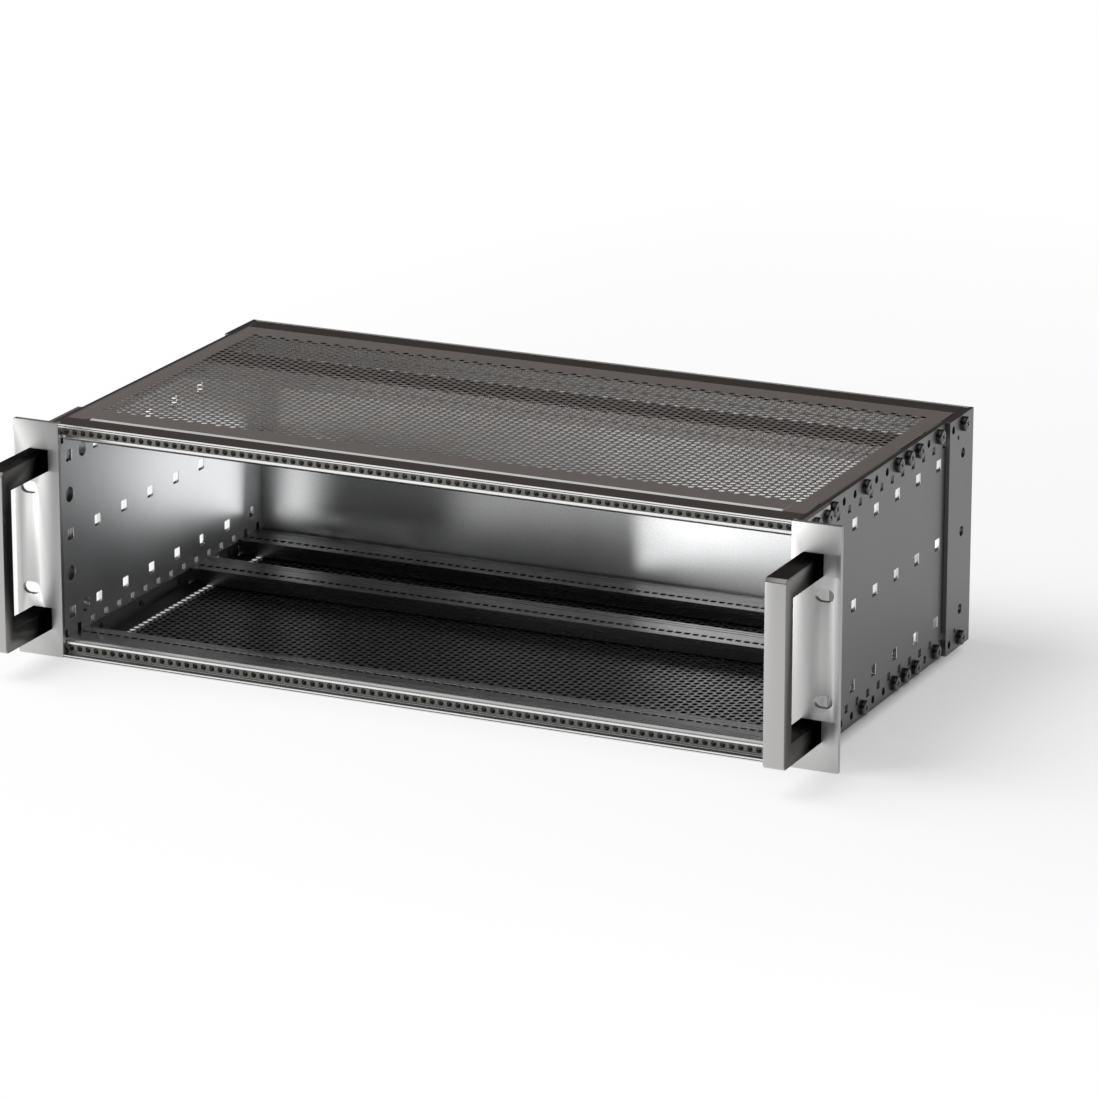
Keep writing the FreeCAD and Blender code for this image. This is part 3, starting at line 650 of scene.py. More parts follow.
class CAGE_OT_side_panels(bpy.types.Operator):
    """Model both side panels with their rows of holes"""
    bl_idname = "cage.side_panels"
    bl_label = "Side panels"

    def execute(self, context):
        s = sizes()
        panel = block("side_panel_right", PANEL_LOW, PANEL_HIGH)
        middle = (PANEL_LOW.x + PANEL_HIGH.x) / 2
        reach = (PANEL_HIGH.x - PANEL_LOW.x) * 2
        step = (0, s.hole_pitch, 0)
        steps = round((BACK_HIGH.y - FACE) / s.hole_pitch)

        rounds = rod("rounds", (middle, depth(1), s.screw_row), "X", s.screw_hole / 2, reach, 20)
        row(rounds, step, steps - 1)
        row(rounds, (0, 0, HEIGHT - s.screw_row * 2), 2)
        half = Vector((reach / 2, s.key_hole / 2, s.key_hole / 2))
        spot = Vector((middle, depth(0.5), s.key_row))
        keys = block("keys", spot - half, spot + half)
        row(keys, step, steps)
        row(keys, (0, 0, HEIGHT - s.key_row * 2), 2)
        half = Vector((reach / 2, s.grid_hole / 2, s.grid_hole / 2))
        spot = Vector((middle, depth(1), MIDDLE - s.grid_row))
        grid = block("grid", spot - half, spot + half)
        row(grid, (0, s.hole_pitch * 2, 0), steps // 2)
        row(grid, (0, 0, s.grid_row), 3)
        cut(panel, rounds, keys, grid)

        tools = []
        for place, rise in ((1, 0.5), (2, 1)):
            for way in (-1, 1):
                spot = Vector((middle, depth(place), MIDDLE + way * rise * s.grid_row))
                tools.append(rod("access", spot, "X", s.access_hole / 2, reach, 32))
        cut(panel, *tools)
        softened(panel, EDGE_BREAK["panel"])

        # The inner face is painted pale and the outer face dark, painted light and shade on one
        # sheet, and the rear walls of the large square holes are painted near white, a painted
        # highlight
        paint(panel, panel_painted_shade_metal(), inside_painted_light_metal(), edge_painted_highlight_metal())
        rows = [MIDDLE + s.grid_row * way for way in (-1, 0, 1)]
        reach_of_hole = s.grid_hole * 0.6
        for face in panel.data.polygons:
            spot = face.center
            if face.normal.x < -0.5:
                face.material_index = 1
            elif (face.normal.y < -0.5 and spot.y < PANEL_HIGH.y - s.grid_hole / 2
                    and any(abs(spot.z - up) < reach_of_hole for up in rows)):
                face.material_index = 2
        smooth(panel)
        seat_pair(panel, "right_side_panel",
                  "side_panel_left", "left_side_panel")
        return {"FINISHED"}


class CAGE_OT_brackets(bpy.types.Operator):
    """Model the front brackets with their rack slots"""
    bl_idname = "cage.brackets"
    bl_label = "Front brackets"

    def execute(self, context):
        s = sizes()
        leg_inside, leg_outside = PANEL_HIGH.x, PLATE_HIGH.x
        outline = [
            (BRACKET_LOW.x, FACE), (BRACKET_HIGH.x, FACE),
            (BRACKET_HIGH.x, FACE + s.flange), (leg_outside, FACE + s.flange),
            (leg_outside, BRACKET_HIGH.y), (leg_inside, BRACKET_HIGH.y),
            (leg_inside, FACE + s.flange), (BRACKET_LOW.x, FACE + s.flange)]
        bracket = extrusion("front_bracket_right", outline, "Z", 0, HEIGHT)
        centre = BRACKET_HIGH.x - s.slot_edge
        radius = s.slot_width / 2
        offset = s.slot_length / 2 - radius
        reach = (leg_outside - leg_inside) * 2
        tools = []
        for way in (-0.5, 0.5):
            up = MIDDLE + way * s.slot_spacing
            slot = arc(centre + offset, up, radius, -90, 90, 12)
            slot += arc(centre - offset, up, radius, 90, 270, 12)
            tools.append(extrusion("slot", slot, "Y", FACE - s.flange, FACE + s.flange * 2))
        for place in (1, 2):
            for up in (s.screw_row, HEIGHT - s.screw_row):
                spot = ((leg_inside + leg_outside) / 2, depth(place), up)
                tools.append(rod("leg_hole", spot, "X", s.screw_hole / 2, reach, 16))
        cut(bracket, *tools)
        softened(bracket, EDGE_BREAK["bracket"], 2)
        smooth(bracket)
        paint(bracket, flange_metal())
        seat_pair(bracket, "right_front_bracket",
                  "front_bracket_left", "left_front_bracket")
        return {"FINISHED"}


class CAGE_OT_handles(bpy.types.Operator):
    """Model the bow handles"""
    bl_idname = "cage.handles"
    bl_label = "Front handles"

    def execute(self, context):
        s = sizes()
        low, high = HANDLE_LOW, HANDLE_HIGH
        r = s.handle_corner
        outline = [(high.y, low.z), (high.y, low.z + s.handle_leg),
                   (low.y + s.handle_grip, low.z + s.handle_leg),
                   (low.y + s.handle_grip, high.z - s.handle_leg),
                   (high.y, high.z - s.handle_leg), (high.y, high.z)]
        outline += [(low.y + r, high.z), (low.y, high.z - r), (low.y, low.z + r),
                    (low.y + r, low.z)]
        handle = extrusion("front_handle_right", outline, "X", s.handle_inner,
                           s.handle_inner + s.handle_width)
        softened(handle, EDGE_BREAK["handle"], 2)
        smooth(handle, 40)
        # The handle's front is painted lighter and its sides darker: painted light and shade on
        # one metal
        paint(handle, handle_painted_shade_metal(), grip_painted_light_metal())
        for face in handle.data.polygons:
            if face.normal.y < -0.5:
                face.material_index = 1
        seat_pair(handle, "right_front_handle",
                  "front_handle_left", "left_front_handle")
        return {"FINISHED"}


class CAGE_OT_rear_plates(bpy.types.Operator):
    """Model the side plates at the back"""
    bl_idname = "cage.rear_plates"
    bl_label = "Rear side plates"

    def execute(self, context):
        s = sizes()
        plate = block("rear_plate_right", PLATE_LOW, PLATE_HIGH)
        middle = (PLATE_LOW.x + PLATE_HIGH.x) / 2
        reach = (PLATE_HIGH.x - PLATE_LOW.x) * 2
        tools = []
        for up in (s.screw_row, HEIGHT - s.screw_row):
            for place in (14, 15):
                tools.append(rod("hole", (middle, depth(place), up), "X",
                                 s.screw_hole / 2, reach, 20))
        for up in (s.key_row, HEIGHT - s.key_row):
            tools.append(rod("pin", (middle, depth(14.5), up), "X", s.pin_hole / 2, reach, 16))
        for way in (-1, 0, 1):
            tools.append(rod("round", (middle, depth(15), MIDDLE + way * s.grid_row), "X",
                             s.plate_hole / 2, reach, 24))
        cut(plate, *tools)
        softened(plate, EDGE_BREAK["plate"])
        smooth(plate)
        # The rear plates get the outer panels' dark colour: painted shade
        paint(plate, panel_painted_shade_metal())
        seat_pair(plate, "right_rear_plate",
                  "rear_plate_left", "left_rear_plate")
        return {"FINISHED"}


def grooves(start, step, count, top):
    """Points of fine V grooves in a rail's top face, one after another along the outline."""
    s = sizes()
    points = []
    way = 1 if step > 0 else -1
    for k in range(count):
        middle = start + step * k
        points += [(middle - way * s.groove / 2, top), (middle, top - s.groove),
                   (middle + way * s.groove / 2, top)]
    return points


def slotted(rail, slot_depth):
    """The rail with its row of guide slots."""
    s = sizes()
    half = Vector((s.guide_slot / 2, s.guide_slot_width / 2, s.rail_web * 0.8))
    spot = Vector((-s.unit_pitch * (s.unit_count - 1) / 2, slot_depth,
                   FRONT_RAIL_HIGH.z - s.rail_web * 0.5))
    tool = block("guide_slots", spot - half, spot + half)
    row(tool, (s.unit_pitch, 0, 0), s.unit_count)
    return cut(rail, tool)


class CAGE_OT_rails(bpy.types.Operator):
    """Model the six extruded rails with their slots and grooves"""
    bl_idname = "cage.rails"
    bl_label = "Rails"

    def execute(self, context):
        s = sizes()
        low, high = FRONT_RAIL_LOW, FRONT_RAIL_HIGH
        seat_up = s.sheet + s.seat_gap
        web = high.z - s.rail_web
        strip_top = STRIP_HIGH.z + s.seat_gap
        strip_foot = STRIP_LOW.z - s.seat_gap
        strip_back = STRIP_HIGH.y + s.seat_gap
        lip = STRIP_LOW.y
        core = depth(1) + s.channel_wall
        lip_middle, lip_groove = s.outer_lip / 2, s.outer_lip * 0.12
        outline = [
            (FACE, 0), (FACE + s.rail_face, 0), (FACE + s.rail_face, seat_up), (core, seat_up),
            (core, web), (high.y - s.rail_lip, web),
            (high.y - s.rail_lip, high.z - s.rail_lip_drop),
            (high.y, high.z - s.rail_lip_drop), (high.y, high.z)]
        outline += grooves(FACE + s.back_groove, -s.groove_step, 1, high.z)
        outline += grooves(FACE + s.front_groove, -s.groove_step, 3, high.z)
        outline += [
            (lip + s.strip_bevel, high.z), (lip, high.z - s.strip_bevel), (lip, strip_top),
            (strip_back, strip_top), (strip_back, strip_foot), (lip, strip_foot),
            (lip, s.outer_lip), (FACE, s.outer_lip), (FACE, lip_middle + lip_groove),
            (FACE + s.groove, lip_middle), (FACE, lip_middle - lip_groove)]
        self.make("front", outline, low, high, FACE + s.front_guide, True)

        low, high = MID_RAIL_LOW, MID_RAIL_HIGH
        outline = self.inner_front(low.y, seat_up, web)
        outline += [
            (high.y, seat_up), (high.y, s.heel_height),
            (high.y - s.heel, s.heel_height), (high.y - s.heel, high.z)]
        outline += grooves(low.y + s.middle_groove, -s.middle_groove_step, 2, high.z)
        outline += self.inner_foot(low.y, high.z)
        self.make("middle", outline, low, high, low.y + s.middle_guide, False)

        low, high = REAR_RAIL_LOW, REAR_RAIL_HIGH
        end, lip = high.y, REAR_STRIP_HIGH.y
        strip_back = REAR_STRIP_LOW.y - s.seat_gap
        outline = self.inner_front(low.y, seat_up, web)
        outline += [
            (end - s.rail_face, seat_up), (end - s.rail_face, 0), (end, 0), (end, s.outer_lip),
            (lip, s.outer_lip), (lip, strip_foot), (strip_back, strip_foot),
            (strip_back, strip_top), (lip, strip_top), (lip, high.z - s.strip_bevel),
            (lip - s.strip_bevel, high.z)]
        outline += grooves(low.y + s.rear_groove, -s.groove_step, 1, high.z)
        outline += self.inner_foot(low.y, high.z)
        self.make("rear", outline, low, high, low.y + s.rear_guide, False)
        return {"FINISHED"}

    def inner_front(self, front, seat_up, web):
        """Underside of an inner rail, from its foot to the back of its hollow."""
        s = sizes()
        return [(front + s.foot_step, seat_up), (front + s.inner_wall, seat_up),
                (front + s.inner_wall, web), (front + s.hollow, web), (front + s.hollow, seat_up)]

    def inner_foot(self, front, top):
        """Front face of an inner rail, from its top edge down to its foot."""
        s = sizes()
        return [(front, top), (front, s.foot), (front + s.foot_step, s.foot)]

    def make(self, place, outline, low, high, slot_depth, notched):
        """The lower rail with that outline, and the upper one as its mirror image.

        A notched rail has its ends cut back behind the mounting flanges, and its front faces
        painted bright, a painted highlight. The other rails are painted darker, a painted shade.
        """
        s = sizes()
        rail = extrusion(f"{place}_rail_lower", outline, "X", low.x, high.x)
        slotted(rail, slot_depth)
        if notched:
            edge, end, past = BRACKET_LOW.x - s.seat_gap, high.x * 1.2, s.flange
            back = FACE + s.flange + s.seat_gap
            cut(rail, block("end", (edge, FACE - past, low.z - past), (end, back, high.z + past)),
                block("end", (-end, FACE - past, low.z - past), (-edge, back, high.z + past)))
        softened(rail, EDGE_BREAK["rail"])
        smooth(rail)
        # Inner rails are painted darker, a painted shade, and the front rails' front faces
        # brighter, a painted highlight
        paint(rail, rail_metal() if notched else inner_rail_painted_shade_metal(), lip_painted_highlight_metal())
        for face in rail.data.polygons:
            if face.normal.y < -0.5 and notched:
                face.material_index = 1
        seat_pair(rail, f"{place}_bottom_rail",
                  f"{place}_rail_upper", f"{place}_top_rail", "Z", MIDDLE)


class CAGE_OT_strips(bpy.types.Operator):
    """Model the threaded strips in the rails"""
    bl_idname = "cage.strips"
    bl_label = "Threaded strips"

    def execute(self, context):
        s = sizes()
        for place, low, high in (("front", STRIP_LOW, STRIP_HIGH),
                                 ("rear", REAR_STRIP_LOW, REAR_STRIP_HIGH)):
            strip = block(f"{place}_strip_lower", low, high)
            spot = (-s.unit_pitch * (s.unit_count - 1) / 2, (low.y + high.y) / 2,
                    (low.z + high.z) / 2)
            tool = rod("tapped", spot, "Y", s.tapped_hole / 2, (high.y - low.y) * 2, 14)
            row(tool, (s.unit_pitch, 0, 0), s.unit_count)
            cut(strip, tool)
            softened(strip, EDGE_BREAK["strip"])
            smooth(strip)
            # The strip's dark colour is painted shade for its groove
            paint(strip, strip_painted_shade_metal())
            seat_pair(strip, f"{place}_bottom_strip",
                      f"{place}_strip_upper", f"{place}_top_strip", "Z", MIDDLE)
        return {"FINISHED"}


def filler(wide, deep):
    """A flat plate of that size."""
    bpy.ops.object.select_all(action="DESELECT")
    bpy.ops.mesh.primitive_plane_add(size=1)
    plate = named("filler")
    plate.scale = (wide, deep, 1)
    settle()
    return plate


def vent_cell(wide, deep):
    """One cell of the perforated sheet: a flat plate with an eight-sided hole."""
    plate = filler(wide, deep)
    bpy.ops.object.mode_set(mode="EDIT")
    bpy.ops.mesh.select_all(action="SELECT")
    bpy.ops.mesh.delete(type="ONLY_FACE")
    pick(plate, "EDGE", lambda edge, middle: abs(middle.y) < deep / 4)
    bpy.ops.mesh.subdivide(number_cuts=1)
    bpy.ops.object.mode_set(mode="OBJECT")
    bpy.ops.mesh.primitive_circle_add(vertices=8, radius=sizes().vent / 2,
                                      rotation=(0, 0, math.pi / 8))
    settle()
    both = joined("cell", plate, named("ring"))
    bpy.ops.object.mode_set(mode="EDIT")
    bpy.ops.mesh.select_mode(type="EDGE")
    bpy.ops.mesh.select_all(action="SELECT")
    bpy.ops.mesh.fill()
    bpy.ops.object.mode_set(mode="OBJECT")
    return both


def vent_field():
    """The perforated sheet: staggered columns of cells round the origin, with its width."""
    s = sizes()
    deep = s.vent_pitch
    wide = deep * math.sqrt(3) / 2
    first = vent_cell(wide, deep)
    only(first)
    bpy.ops.object.duplicate()
    second = named("second")
    row(first, (0, deep, 0), s.vent_rows)
    moved(second, (wide, deep / 2, 0))
    row(second, (0, deep, 0), s.vent_rows - 1)
    pads = [moved(filler(wide, deep / 2), (wide, -deep / 4, 0)),
            moved(filler(wide, deep / 2), (wide, deep * (s.vent_rows - 0.75), 0))]
    only(first)
    bpy.ops.object.duplicate()
    last = moved(named("last"), (wide * (s.vent_columns - 1), 0, 0))
    pair = joined("pair", first, second, *pads)
    row(pair, (wide * 2, 0, 0), (s.vent_columns - 1) // 2)
    sheet = joined("cover_lower", pair, last)
    field = wide * s.vent_columns
    moved(sheet, (-field / 2 + wide / 2, FACE + s.vent_front, 0))
    return sheet, field


class CAGE_OT_covers(bpy.types.Operator):
    """Model the perforated covers with their folded sides"""
    bl_idname = "cage.covers"
    bl_label = "Covers"

    def execute(self, context):
        s = sizes()
        sheet, field = vent_field()
        bpy.ops.object.mode_set(mode="EDIT")
        bpy.ops.mesh.select_all(action="SELECT")
        bpy.ops.mesh.remove_doubles(threshold=MERGE)
        bpy.ops.mesh.normals_make_consistent(inside=False)

        # Plain border: first to both sides, then to the front and the back
        bend_start = COVER_HIGH.x - s.bend
        flat = INNER - s.cover_play
        for way in (-1, 1):
            pick(sheet, "EDGE", lambda edge, middle:
                 edge.is_boundary and way * middle.x > field / 2 - NEAR)
            bpy.ops.mesh.extrude_region_move(
                TRANSFORM_OT_translate={"value": (way * (bend_start - field / 2), 0, 0)})
        low_y = FACE + s.vent_front - s.vent_pitch / 2
        high_y = low_y + s.vent_pitch * s.vent_rows
        for edge_y, target in ((low_y, COVER_LOW.y), (high_y, COVER_HIGH.y)):
            pick(sheet, "EDGE", lambda edge, middle:
                 edge.is_boundary and abs(middle.y - edge_y) < NEAR)
            bpy.ops.mesh.extrude_region_move(
                TRANSFORM_OT_translate={"value": (0, target - edge_y, 0)})

        # The front edge is set back between the mounting flanges, with a relief at each end
        edge = field / 2 - s.slit_end
        for line in (-edge - s.relief, -edge, edge, edge + s.relief):
            pick(sheet, "FACE", lambda face, middle: middle.y < low_y)
            bpy.ops.mesh.bisect(plane_co=(line, 0, 0), plane_no=(1, 0, 0))
        pick(sheet, "VERT", lambda vert, spot: spot.y < COVER_LOW.y + NEAR
             and abs(spot.x) < edge + NEAR)
        bpy.ops.transform.translate(value=(0, s.front_slit, 0))

        # Side folds between the rails, and the flat stretches beside the rails
        folds = [(FRONT_RAIL_HIGH.y + s.fold_start, MID_RAIL_LOW.y - s.fold_end),
                 (MID_RAIL_HIGH.y + s.fold_start, REAR_RAIL_LOW.y - s.fold_end)]
        for start, end in folds:
            for line in (start - s.relief, start, end, end + s.relief):
                pick(sheet, "FACE", lambda face, middle: abs(middle.x) > field / 2)
                bpy.ops.mesh.bisect(plane_co=(0, line, 0), plane_no=(0, 1, 0))

        def in_fold(y, more=0.0):
            return any(start - more < y < end + more for start, end in folds)

        def along_y(line):
            return abs(line.verts[0].co.x - line.verts[1].co.x) < NEAR

        for way in (-1, 1):
            pick(sheet, "EDGE", lambda edge, middle: edge.is_boundary
                 and way * middle.x > bend_start - NEAR and along_y(edge)
                 and not in_fold(middle.y, s.relief))
            bpy.ops.mesh.extrude_region_move(
                TRANSFORM_OT_translate={"value": (way * (flat - bend_start), 0, 0)})
            pick(sheet, "EDGE", lambda edge, middle: edge.is_boundary
                 and way * middle.x > bend_start - NEAR and along_y(edge)
                 and in_fold(middle.y))
            turns = arc(0, 0, s.bend, -90, 0, 4)
            for before, after in zip(turns, turns[1:]):
                bpy.ops.mesh.extrude_region_move(TRANSFORM_OT_translate={
                    "value": (way * (after[0] - before[0]), 0, after[1] - before[1])})
            bpy.ops.mesh.extrude_region_move(TRANSFORM_OT_translate={
                "value": (0, 0, COVER_HIGH.z - s.bend)})
        bpy.ops.mesh.select_mode(type="VERT")
        bpy.ops.mesh.select_all(action="SELECT")
        bpy.ops.mesh.remove_doubles(threshold=MERGE)
        bpy.ops.mesh.normals_make_consistent(inside=False)
        bpy.ops.object.mode_set(mode="OBJECT")

        # The sheet gets its thickness upwards; the perforated field is thinner
        up = sum(face.normal.z * face.area for face in sheet.data.polygons)
        border = sheet.vertex_groups.new(name="border")
        border.add([vert.index for vert in sheet.data.vertices
                    if abs(vert.co.x) > field / 2 + NEAR
                    or not low_y - NEAR < vert.co.y < high_y + NEAR], 1.0, "REPLACE")
        modified(sheet, "SOLIDIFY", thickness=s.sheet, offset=-1.0 if up < 0 else 1.0,
                 use_even_offset=True, vertex_group="border",
                 thickness_vertex_group=s.vent_sheet / s.sheet)
        smooth(sheet)
        bpy.ops.object.mode_set(mode="EDIT")
        front = COVER_LOW.y + s.front_slit
        pick(sheet, "EDGE", lambda line, middle: abs(middle.z) < NEAR
             and abs(middle.y - front) < NEAR and abs(middle.x) < edge
             and abs(line.verts[0].co.y - line.verts[1].co.y) < MERGE)
        bpy.ops.mesh.bevel(offset=s.slit_chamfer, segments=1)
        bpy.ops.object.mode_set(mode="OBJECT")

        # The sheet is painted dark, a painted shade for a dark reflection; the chamfer is painted
        # near white, a painted highlight, and the inner faces are painted darker, a painted shade
        paint(sheet, cover_painted_reflection_metal(), edge_painted_highlight_metal(), cover_inside_painted_shade_metal())
        for face in sheet.data.polygons:
            if face.normal.z > 0.5 or abs(face.normal.x) > 0.9:
                face.material_index = 2
            if (face.normal.y < -0.5
                    and front - NEAR < face.center.y < front + s.slit_chamfer - NEAR):
                face.material_index = 1
        seat_pair(sheet, "bottom_cover",
                  "cover_upper", "top_cover", "Z", MIDDLE)
        return {"FINISHED"}


class CAGE_OT_rear_panel(bpy.types.Operator):
    """Model the closed rear panel"""
    bl_idname = "cage.rear_panel"
    bl_label = "Rear panel"

    def execute(self, context):
        panel = block("rear_panel_sheet", BACK_LOW, BACK_HIGH)
        softened(panel, EDGE_BREAK["rear_panel"], 2)
        smooth(panel)
        paint(panel, back_metal())
        seat(panel, "rear_panel")
        return {"FINISHED"}


class CAGE_OT_screws(bpy.types.Operator):
    """Model the screws and seat them in their holes"""
    bl_idname = "cage.screws"
    bl_label = "Screws"

    def master(self, head, height, thread, reach):
        """A pan head screw with a cross recess, its seat at the origin and its head upwards."""
        rounding, play = height * 0.42, height * 0.05
        taper = 0.6
        cap = rod("head", (0, 0, height / 2), "Z", head / 2, height, 28)
        bpy.ops.object.mode_set(mode="EDIT")
        pick(cap, "EDGE", lambda edge, middle: middle.z > height * 0.9)
        bpy.ops.mesh.bevel(offset=rounding, segments=4, profile=0.6)
        bpy.ops.object.mode_set(mode="OBJECT")
        width, span, dip = head * 0.11, head * 0.56, height * 0.55
        arms = []
        for size in ((span, width), (width, span)):
            arm = block("arm", (-size[0] / 2, -size[1] / 2, height - dip),
                        (size[0] / 2, size[1] / 2, height + dip))
            bpy.ops.object.mode_set(mode="EDIT")
            pick(arm, "FACE", lambda face, middle: face.normal.z < -0.5)
            bpy.ops.transform.resize(value=(taper, taper, 1),
                                     center_override=(0, 0, height - dip))
            bpy.ops.object.mode_set(mode="OBJECT")
            arms.append(arm)
        for arm in arms:
            cut(cap, arm)
        shank = rod("shank", (0, 0, play - reach / 2), "Z", thread / 2, reach + play * 2, 12)
        screw = joined("screw", cap, shank)
        return smooth(screw, 35)

    def group(self, name, screw, seats, way, node):
        """Copies of a screw with their heads on the seats, joined into one piece.

        Each is turned a little further than the one before, as fitted by hand.
        """
        copies = []
        turn = Vector((0, 0, 1)).rotation_difference(Vector(way)).to_matrix().to_4x4()
        for index, spot in enumerate(seats):
            only(screw)
            bpy.ops.object.duplicate()
            copy = named(name)
            spin = Matrix.Rotation(index * SCREW_TURN, 4, "Z")
            copy.matrix_world = Matrix.Translation(spot) @ turn @ spin
            settle()
            copies.append(copy)
        piece = joined(name, *copies)
        paint(piece, screw_metal())
        return seat(piece, node)

    def execute(self, context):
        s = sizes()
        rows = (s.screw_row, HEIGHT - s.screw_row)
        panel, leg = PANEL_HIGH.x, PLATE_HIGH.x
        deep = self.master(s.screw_head, s.screw_head_height, s.screw_thread, s.long_screw)
        through = self.master(s.screw_head, s.screw_head_height, s.screw_thread,
                              s.short_screw)

        # Places are counted in holes from the flange
        for side, word in ((1, "right"), (-1, "left")):
            for name, face, places, screw in (
                    ("bracket_screws", leg, (1,), deep), ("leg_screws", leg, (2,), through),
                    ("rail_screws", panel, (10, 11), deep),
                    ("cover_screws", panel, (3, 6, 9, 13), through),
                    ("rear_plate_screws", leg, (15,), deep)):
                seats = [Vector((side * face, depth(place), up))
                         for place in places for up in rows]
                self.group(f"{name}_{word}", screw, seats, (side, 0, 0), f"{word}_{name}")
        across = (HANDLE_LOW.x + HANDLE_HIGH.x) / 2
        seats = [Vector((side * across, FACE + s.flange, up)) for side in (-1, 1)
                 for up in (HANDLE_LOW.z + s.handle_leg / 2, HANDLE_HIGH.z - s.handle_leg / 2)]
        self.group("screws_of_handles", deep, seats, (0, 1, 0), "handle_screws")
        small = self.master(s.rear_head, s.rear_head_height, s.rear_thread, s.rear_screw)
        strip = (STRIP_LOW.z + STRIP_HIGH.z) / 2
        seats = [Vector((column * (INNER - s.rear_screw_inset), BACK_HIGH.y, up))
                 for column in (-1, 0, 1) for up in (strip, HEIGHT - strip)]
        self.group("screws_of_rear_panel", small, seats, (0, 1, 0), "rear_panel_screws")
        only(deep, through, small)
        bpy.ops.object.delete()
        return {"FINISHED"}


class CAGE_OT_stage(bpy.types.Operator):
    """Set the floor, the lights and the camera"""
    bl_idname = "cage.stage"
    bl_label = "Stage"

    def lamp(self, name, place, aim, size, power, tall=None):
        """A softbox that shines from its place towards the aim."""
        bpy.ops.object.light_add(type="AREA", location=place)
        lamp = bpy.context.active_object
        lamp.name = name
        lamp.data.shape = "RECTANGLE"
        lamp.data.size = size
        lamp.data.size_y = tall or size
        lamp.data.energy = power
        way = Vector(aim) - Vector(place)
        lamp.rotation_euler = way.to_track_quat("-Z", "Y").to_euler()
        return lamp

    def paper(self, settings):
        """Floor that shines white where the camera or a reflection sees it.

        Round the cage the white gives way to lit paper, which takes the shadow. Under the
        cage the paper is painted black, a painted shadow, so that the holes of the lower cover
        look dark.
        """
        paper = bpy.data.materials.new("pale_floor")
        paper.use_nodes = True
        tree = paper.node_tree
        shader = tree.nodes["Principled BSDF"]
        shader.inputs["Roughness"].default_value = 0.9
        shader.inputs["Specular IOR Level"].default_value = 0.1

        # How far a point lies outside the cage's shade, counted faster in front and at the left
        place = put(tree, "ShaderNodeTexCoord").outputs["Object"]
        split = put(tree, "ShaderNodeSeparateXYZ", place)
        past = []
        for axis, low, high in (("X", *settings.shade_across), ("Y", *settings.shade_along)):
            spot = split.outputs[axis]
            below = maths(tree, "MULTIPLY_ADD", spot, -settings.shade_rate,
                          low * settings.shade_rate)
            past.append(maths(tree, "MAXIMUM", below, maths(tree, "SUBTRACT", spot, high)))
        outside = put(tree, "ShaderNodeVectorMath",
                      put(tree, "ShaderNodeCombineXYZ", *past).outputs[0], (0, 0, 0),
                      operation="MAXIMUM")
        distance = put(tree, "ShaderNodeVectorMath", outside.outputs[0],
                       operation="LENGTH").outputs["Value"]
        lightness = self.ramp(tree, distance, (
            (0, (0, 0, 0)), (0.012, (0.5, 0.5, 0.5)), (0.2, (0.72, 0.72, 0.72)), (1, (1, 1, 1))))
        # Painted shadow: the paper is black under the cage
        painted_shadow_under = put(tree, "ShaderNodeMapRange", distance, 0, 0.002)
        tone = scaled(tree, settings.floor_colour, painted_shadow_under.outputs[0])
        tree.links.new(tone, shader.inputs["Base Color"])

        path = put(tree, "ShaderNodeLightPath").outputs
        seen = maths(tree, "MAXIMUM", path["Is Camera Ray"], path["Is Glossy Ray"])
        seen = maths(tree, "MAXIMUM", seen, path["Is Transmission Ray"])
        white = put(tree, "ShaderNodeEmission")
        white.inputs["Strength"].default_value = 1
        mix = put(tree, "ShaderNodeMixShader", maths(tree, "MULTIPLY", seen, lightness),
                  shader.outputs[0], white.outputs[0])
        tree.links.new(mix.outputs[0], tree.nodes["Material Output"].inputs["Surface"])
        return paper

    def sky(self, context):
        """Studio round the object: dim and warm behind, a bright band low in front."""
        world = bpy.data.worlds.new("studio")
        context.scene.world = world
        world.use_nodes = True
        tree = world.node_tree
        place = put(tree, "ShaderNodeTexCoord").outputs["Generated"]
        split = put(tree, "ShaderNodeSeparateXYZ", place).outputs
        band = context.scene.stage_settings.horizon
        behind = self.ramp(tree, split["Z"], (
            (0.05, (0.105, 0.088, 0.081)), (0.55, (0.09, 0.078, 0.073)),
            (0.8, (0.12, 0.12, 0.12)), (1.0, (0.5, 0.5, 0.5))))
        before = self.ramp(tree, split["Z"], (
            (0.06, (band, band, band)), (0.17, (0.06, 0.06, 0.06)),
            (0.6, (0.06, 0.06, 0.06)), (1.0, (0.8, 0.8, 0.8))))
        front = put(tree, "ShaderNodeMapRange", split["Y"], 0.1, -0.3, 0, 1,
                    interpolation_type="SMOOTHSTEP")
        mix = put(tree, "ShaderNodeMix", data_type="RGBA")
        for socket, value in ((mix.inputs["Factor"], front.outputs[0]),
                              (mix.inputs[6], behind), (mix.inputs[7], before),
                              (tree.nodes["Background"].inputs["Color"], mix.outputs[2])):
            tree.links.new(value, socket)
        tree.nodes["Background"].inputs["Strength"].default_value = 1.0

    def ramp(self, tree, value, levels):
        """The output of a new colour ramp with those places and colours, from low to high."""
        ramp = put(tree, "ShaderNodeValToRGB", value)
        stops = ramp.color_ramp.elements
        stops[0].position, stops[-1].position = levels[0][0], levels[-1][0]
        stops[0].color, stops[-1].color = (*levels[0][1], 1), (*levels[-1][1], 1)
        for spot, colour in levels[1:-1]:
            stops.new(spot).color = (*colour, 1)
        return ramp.outputs["Color"]

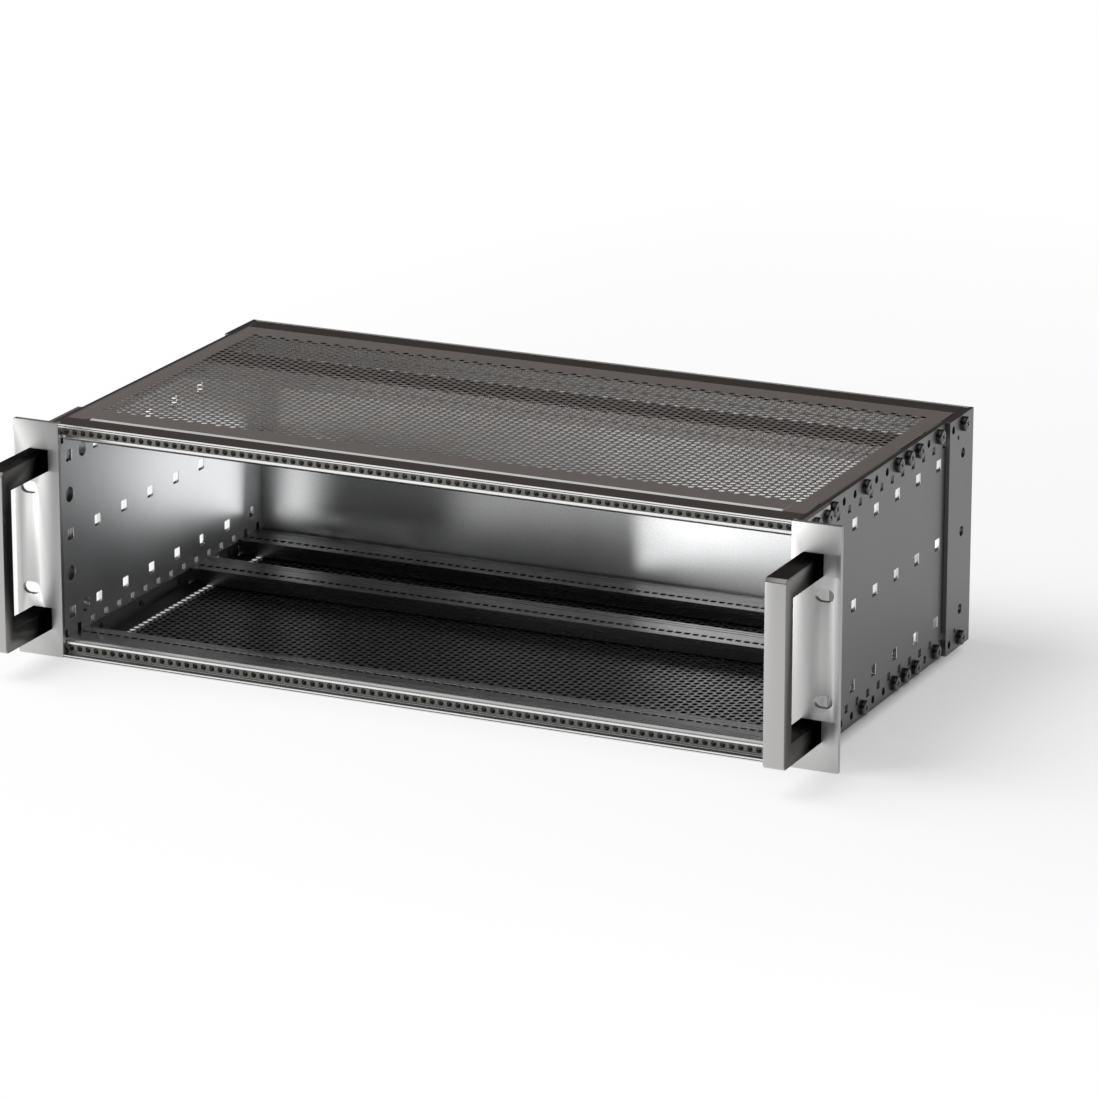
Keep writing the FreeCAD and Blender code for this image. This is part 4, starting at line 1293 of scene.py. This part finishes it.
    def bay_lights(self, settings):
        """Small lights in the bay, which a view from the front right sees mirrored.

        Each shines only the way that such a mirrored view goes, so it leaves no patch on
        the faces beside it. The rows hold name, place, way, width, height and power.
        """
        to_rear, to_front = (0.403, 0.867, 0.292), (-0.478, -0.831, 0.283)
        to_floor = (0.403, 0.867, -0.292)
        for name, place, way, wide, tall, part in (
                ("side", (-0.172, 0.112, 0.048), to_front, 0.08, 0.055, 0.055),
                ("corner", (-0.207, 0.116, 0.032), to_rear, 0.020, 0.045, 0.02),
                ("rear", (0.105, 0.081, 0.027), to_rear, 0.20, 0.036, 0.15),
                ("middle", (-0.055, 0.081, 0.030), to_rear, 0.12, 0.036, 0.028),
                ("top", (-0.035, 0.055, 0.084), to_rear, 0.38, 0.026, 0.05),
                ("low", (0.10, 0.055, 0.058), to_floor, 0.18, 0.04, 0.2)):
            lamp = self.lamp(f"bay_light_{name}", place, Vector(place) + Vector(way), wide,
                             settings.bay_power * part, tall)
            lamp.data.spread = settings.bay_spread
            lamp.visible_camera = False

    def execute(self, context):
        settings = context.scene.stage_settings
        context.scene.view_settings.view_transform = "Standard"
        bpy.ops.object.select_all(action="DESELECT")
        bpy.ops.mesh.primitive_plane_add(size=settings.floor_size)
        floor = named("floor")
        floor.data.materials.append(self.paper(settings))

        # The key light is split, so that glossy faces see only a weak part of it
        over, side, power = settings.key_place, settings.key_size, settings.key_power
        key = self.lamp("key_softbox", over, (0, 0, 0), side, power)
        key.visible_glossy = False
        gleam = self.lamp("key_gleam", over, (0, 0, 0), side, power * settings.gleam)
        gleam.visible_diffuse = False
        wide, tall = settings.low_size
        self.lamp("left_low_softbox", settings.low_place, settings.low_aim, wide,
                  settings.low_power, tall)
        self.bay_lights(settings)
        self.sky(context)

        data = bpy.data.cameras.new("camera")
        data.lens = settings.lens
        data.sensor_width = 36
        data.clip_end = 50
        camera = bpy.data.objects.new("camera", data)
        context.scene.collection.objects.link(camera)
        camera.location = settings.camera_place
        camera.rotation_euler = Euler(settings.camera_turn)
        context.scene.camera = camera
        return {"FINISHED"}


class CAGE_PT_workshop(bpy.types.Panel):
    """Lists the pieces of the card cage"""
    bl_idname = "CAGE_PT_workshop"
    bl_label = "Card cage"
    bl_space_type = "VIEW_3D"
    bl_region_type = "UI"
    bl_category = "Card Cage"

    def draw(self, context):
        for operator in OPERATORS:
            self.layout.operator(operator.bl_idname)
        for group in (context.scene.cage_sizes, context.scene.cage_finish,
                      context.scene.stage_settings):
            box = self.layout.box()
            for word in group.__annotations__:
                box.prop(group, word)


OPERATORS = (CAGE_OT_side_panels, CAGE_OT_brackets, CAGE_OT_handles, CAGE_OT_rear_plates,
             CAGE_OT_rails, CAGE_OT_strips, CAGE_OT_covers, CAGE_OT_rear_panel,
             CAGE_OT_screws, CAGE_OT_stage)
CLASSES = (CageSizes, CageFinish, StageSettings, *OPERATORS, CAGE_PT_workshop)


def register():
    for cls in CLASSES:
        bpy.utils.register_class(cls)
    bpy.types.Scene.cage_sizes = bpy.props.PointerProperty(type=CageSizes)
    bpy.types.Scene.cage_finish = bpy.props.PointerProperty(type=CageFinish)
    bpy.types.Scene.stage_settings = bpy.props.PointerProperty(type=StageSettings)


def unregister():
    del bpy.types.Scene.stage_settings
    del bpy.types.Scene.cage_finish
    del bpy.types.Scene.cage_sizes
    for cls in reversed(CLASSES):
        bpy.utils.unregister_class(cls)


def main():
    register()
    bpy.ops.cage.side_panels()
    bpy.ops.cage.brackets()
    bpy.ops.cage.handles()
    bpy.ops.cage.rear_plates()
    bpy.ops.cage.rails()
    bpy.ops.cage.strips()
    bpy.ops.cage.covers()
    bpy.ops.cage.rear_panel()
    bpy.ops.cage.screws()
    bpy.ops.cage.stage()


if __name__ == "__main__":
    main()
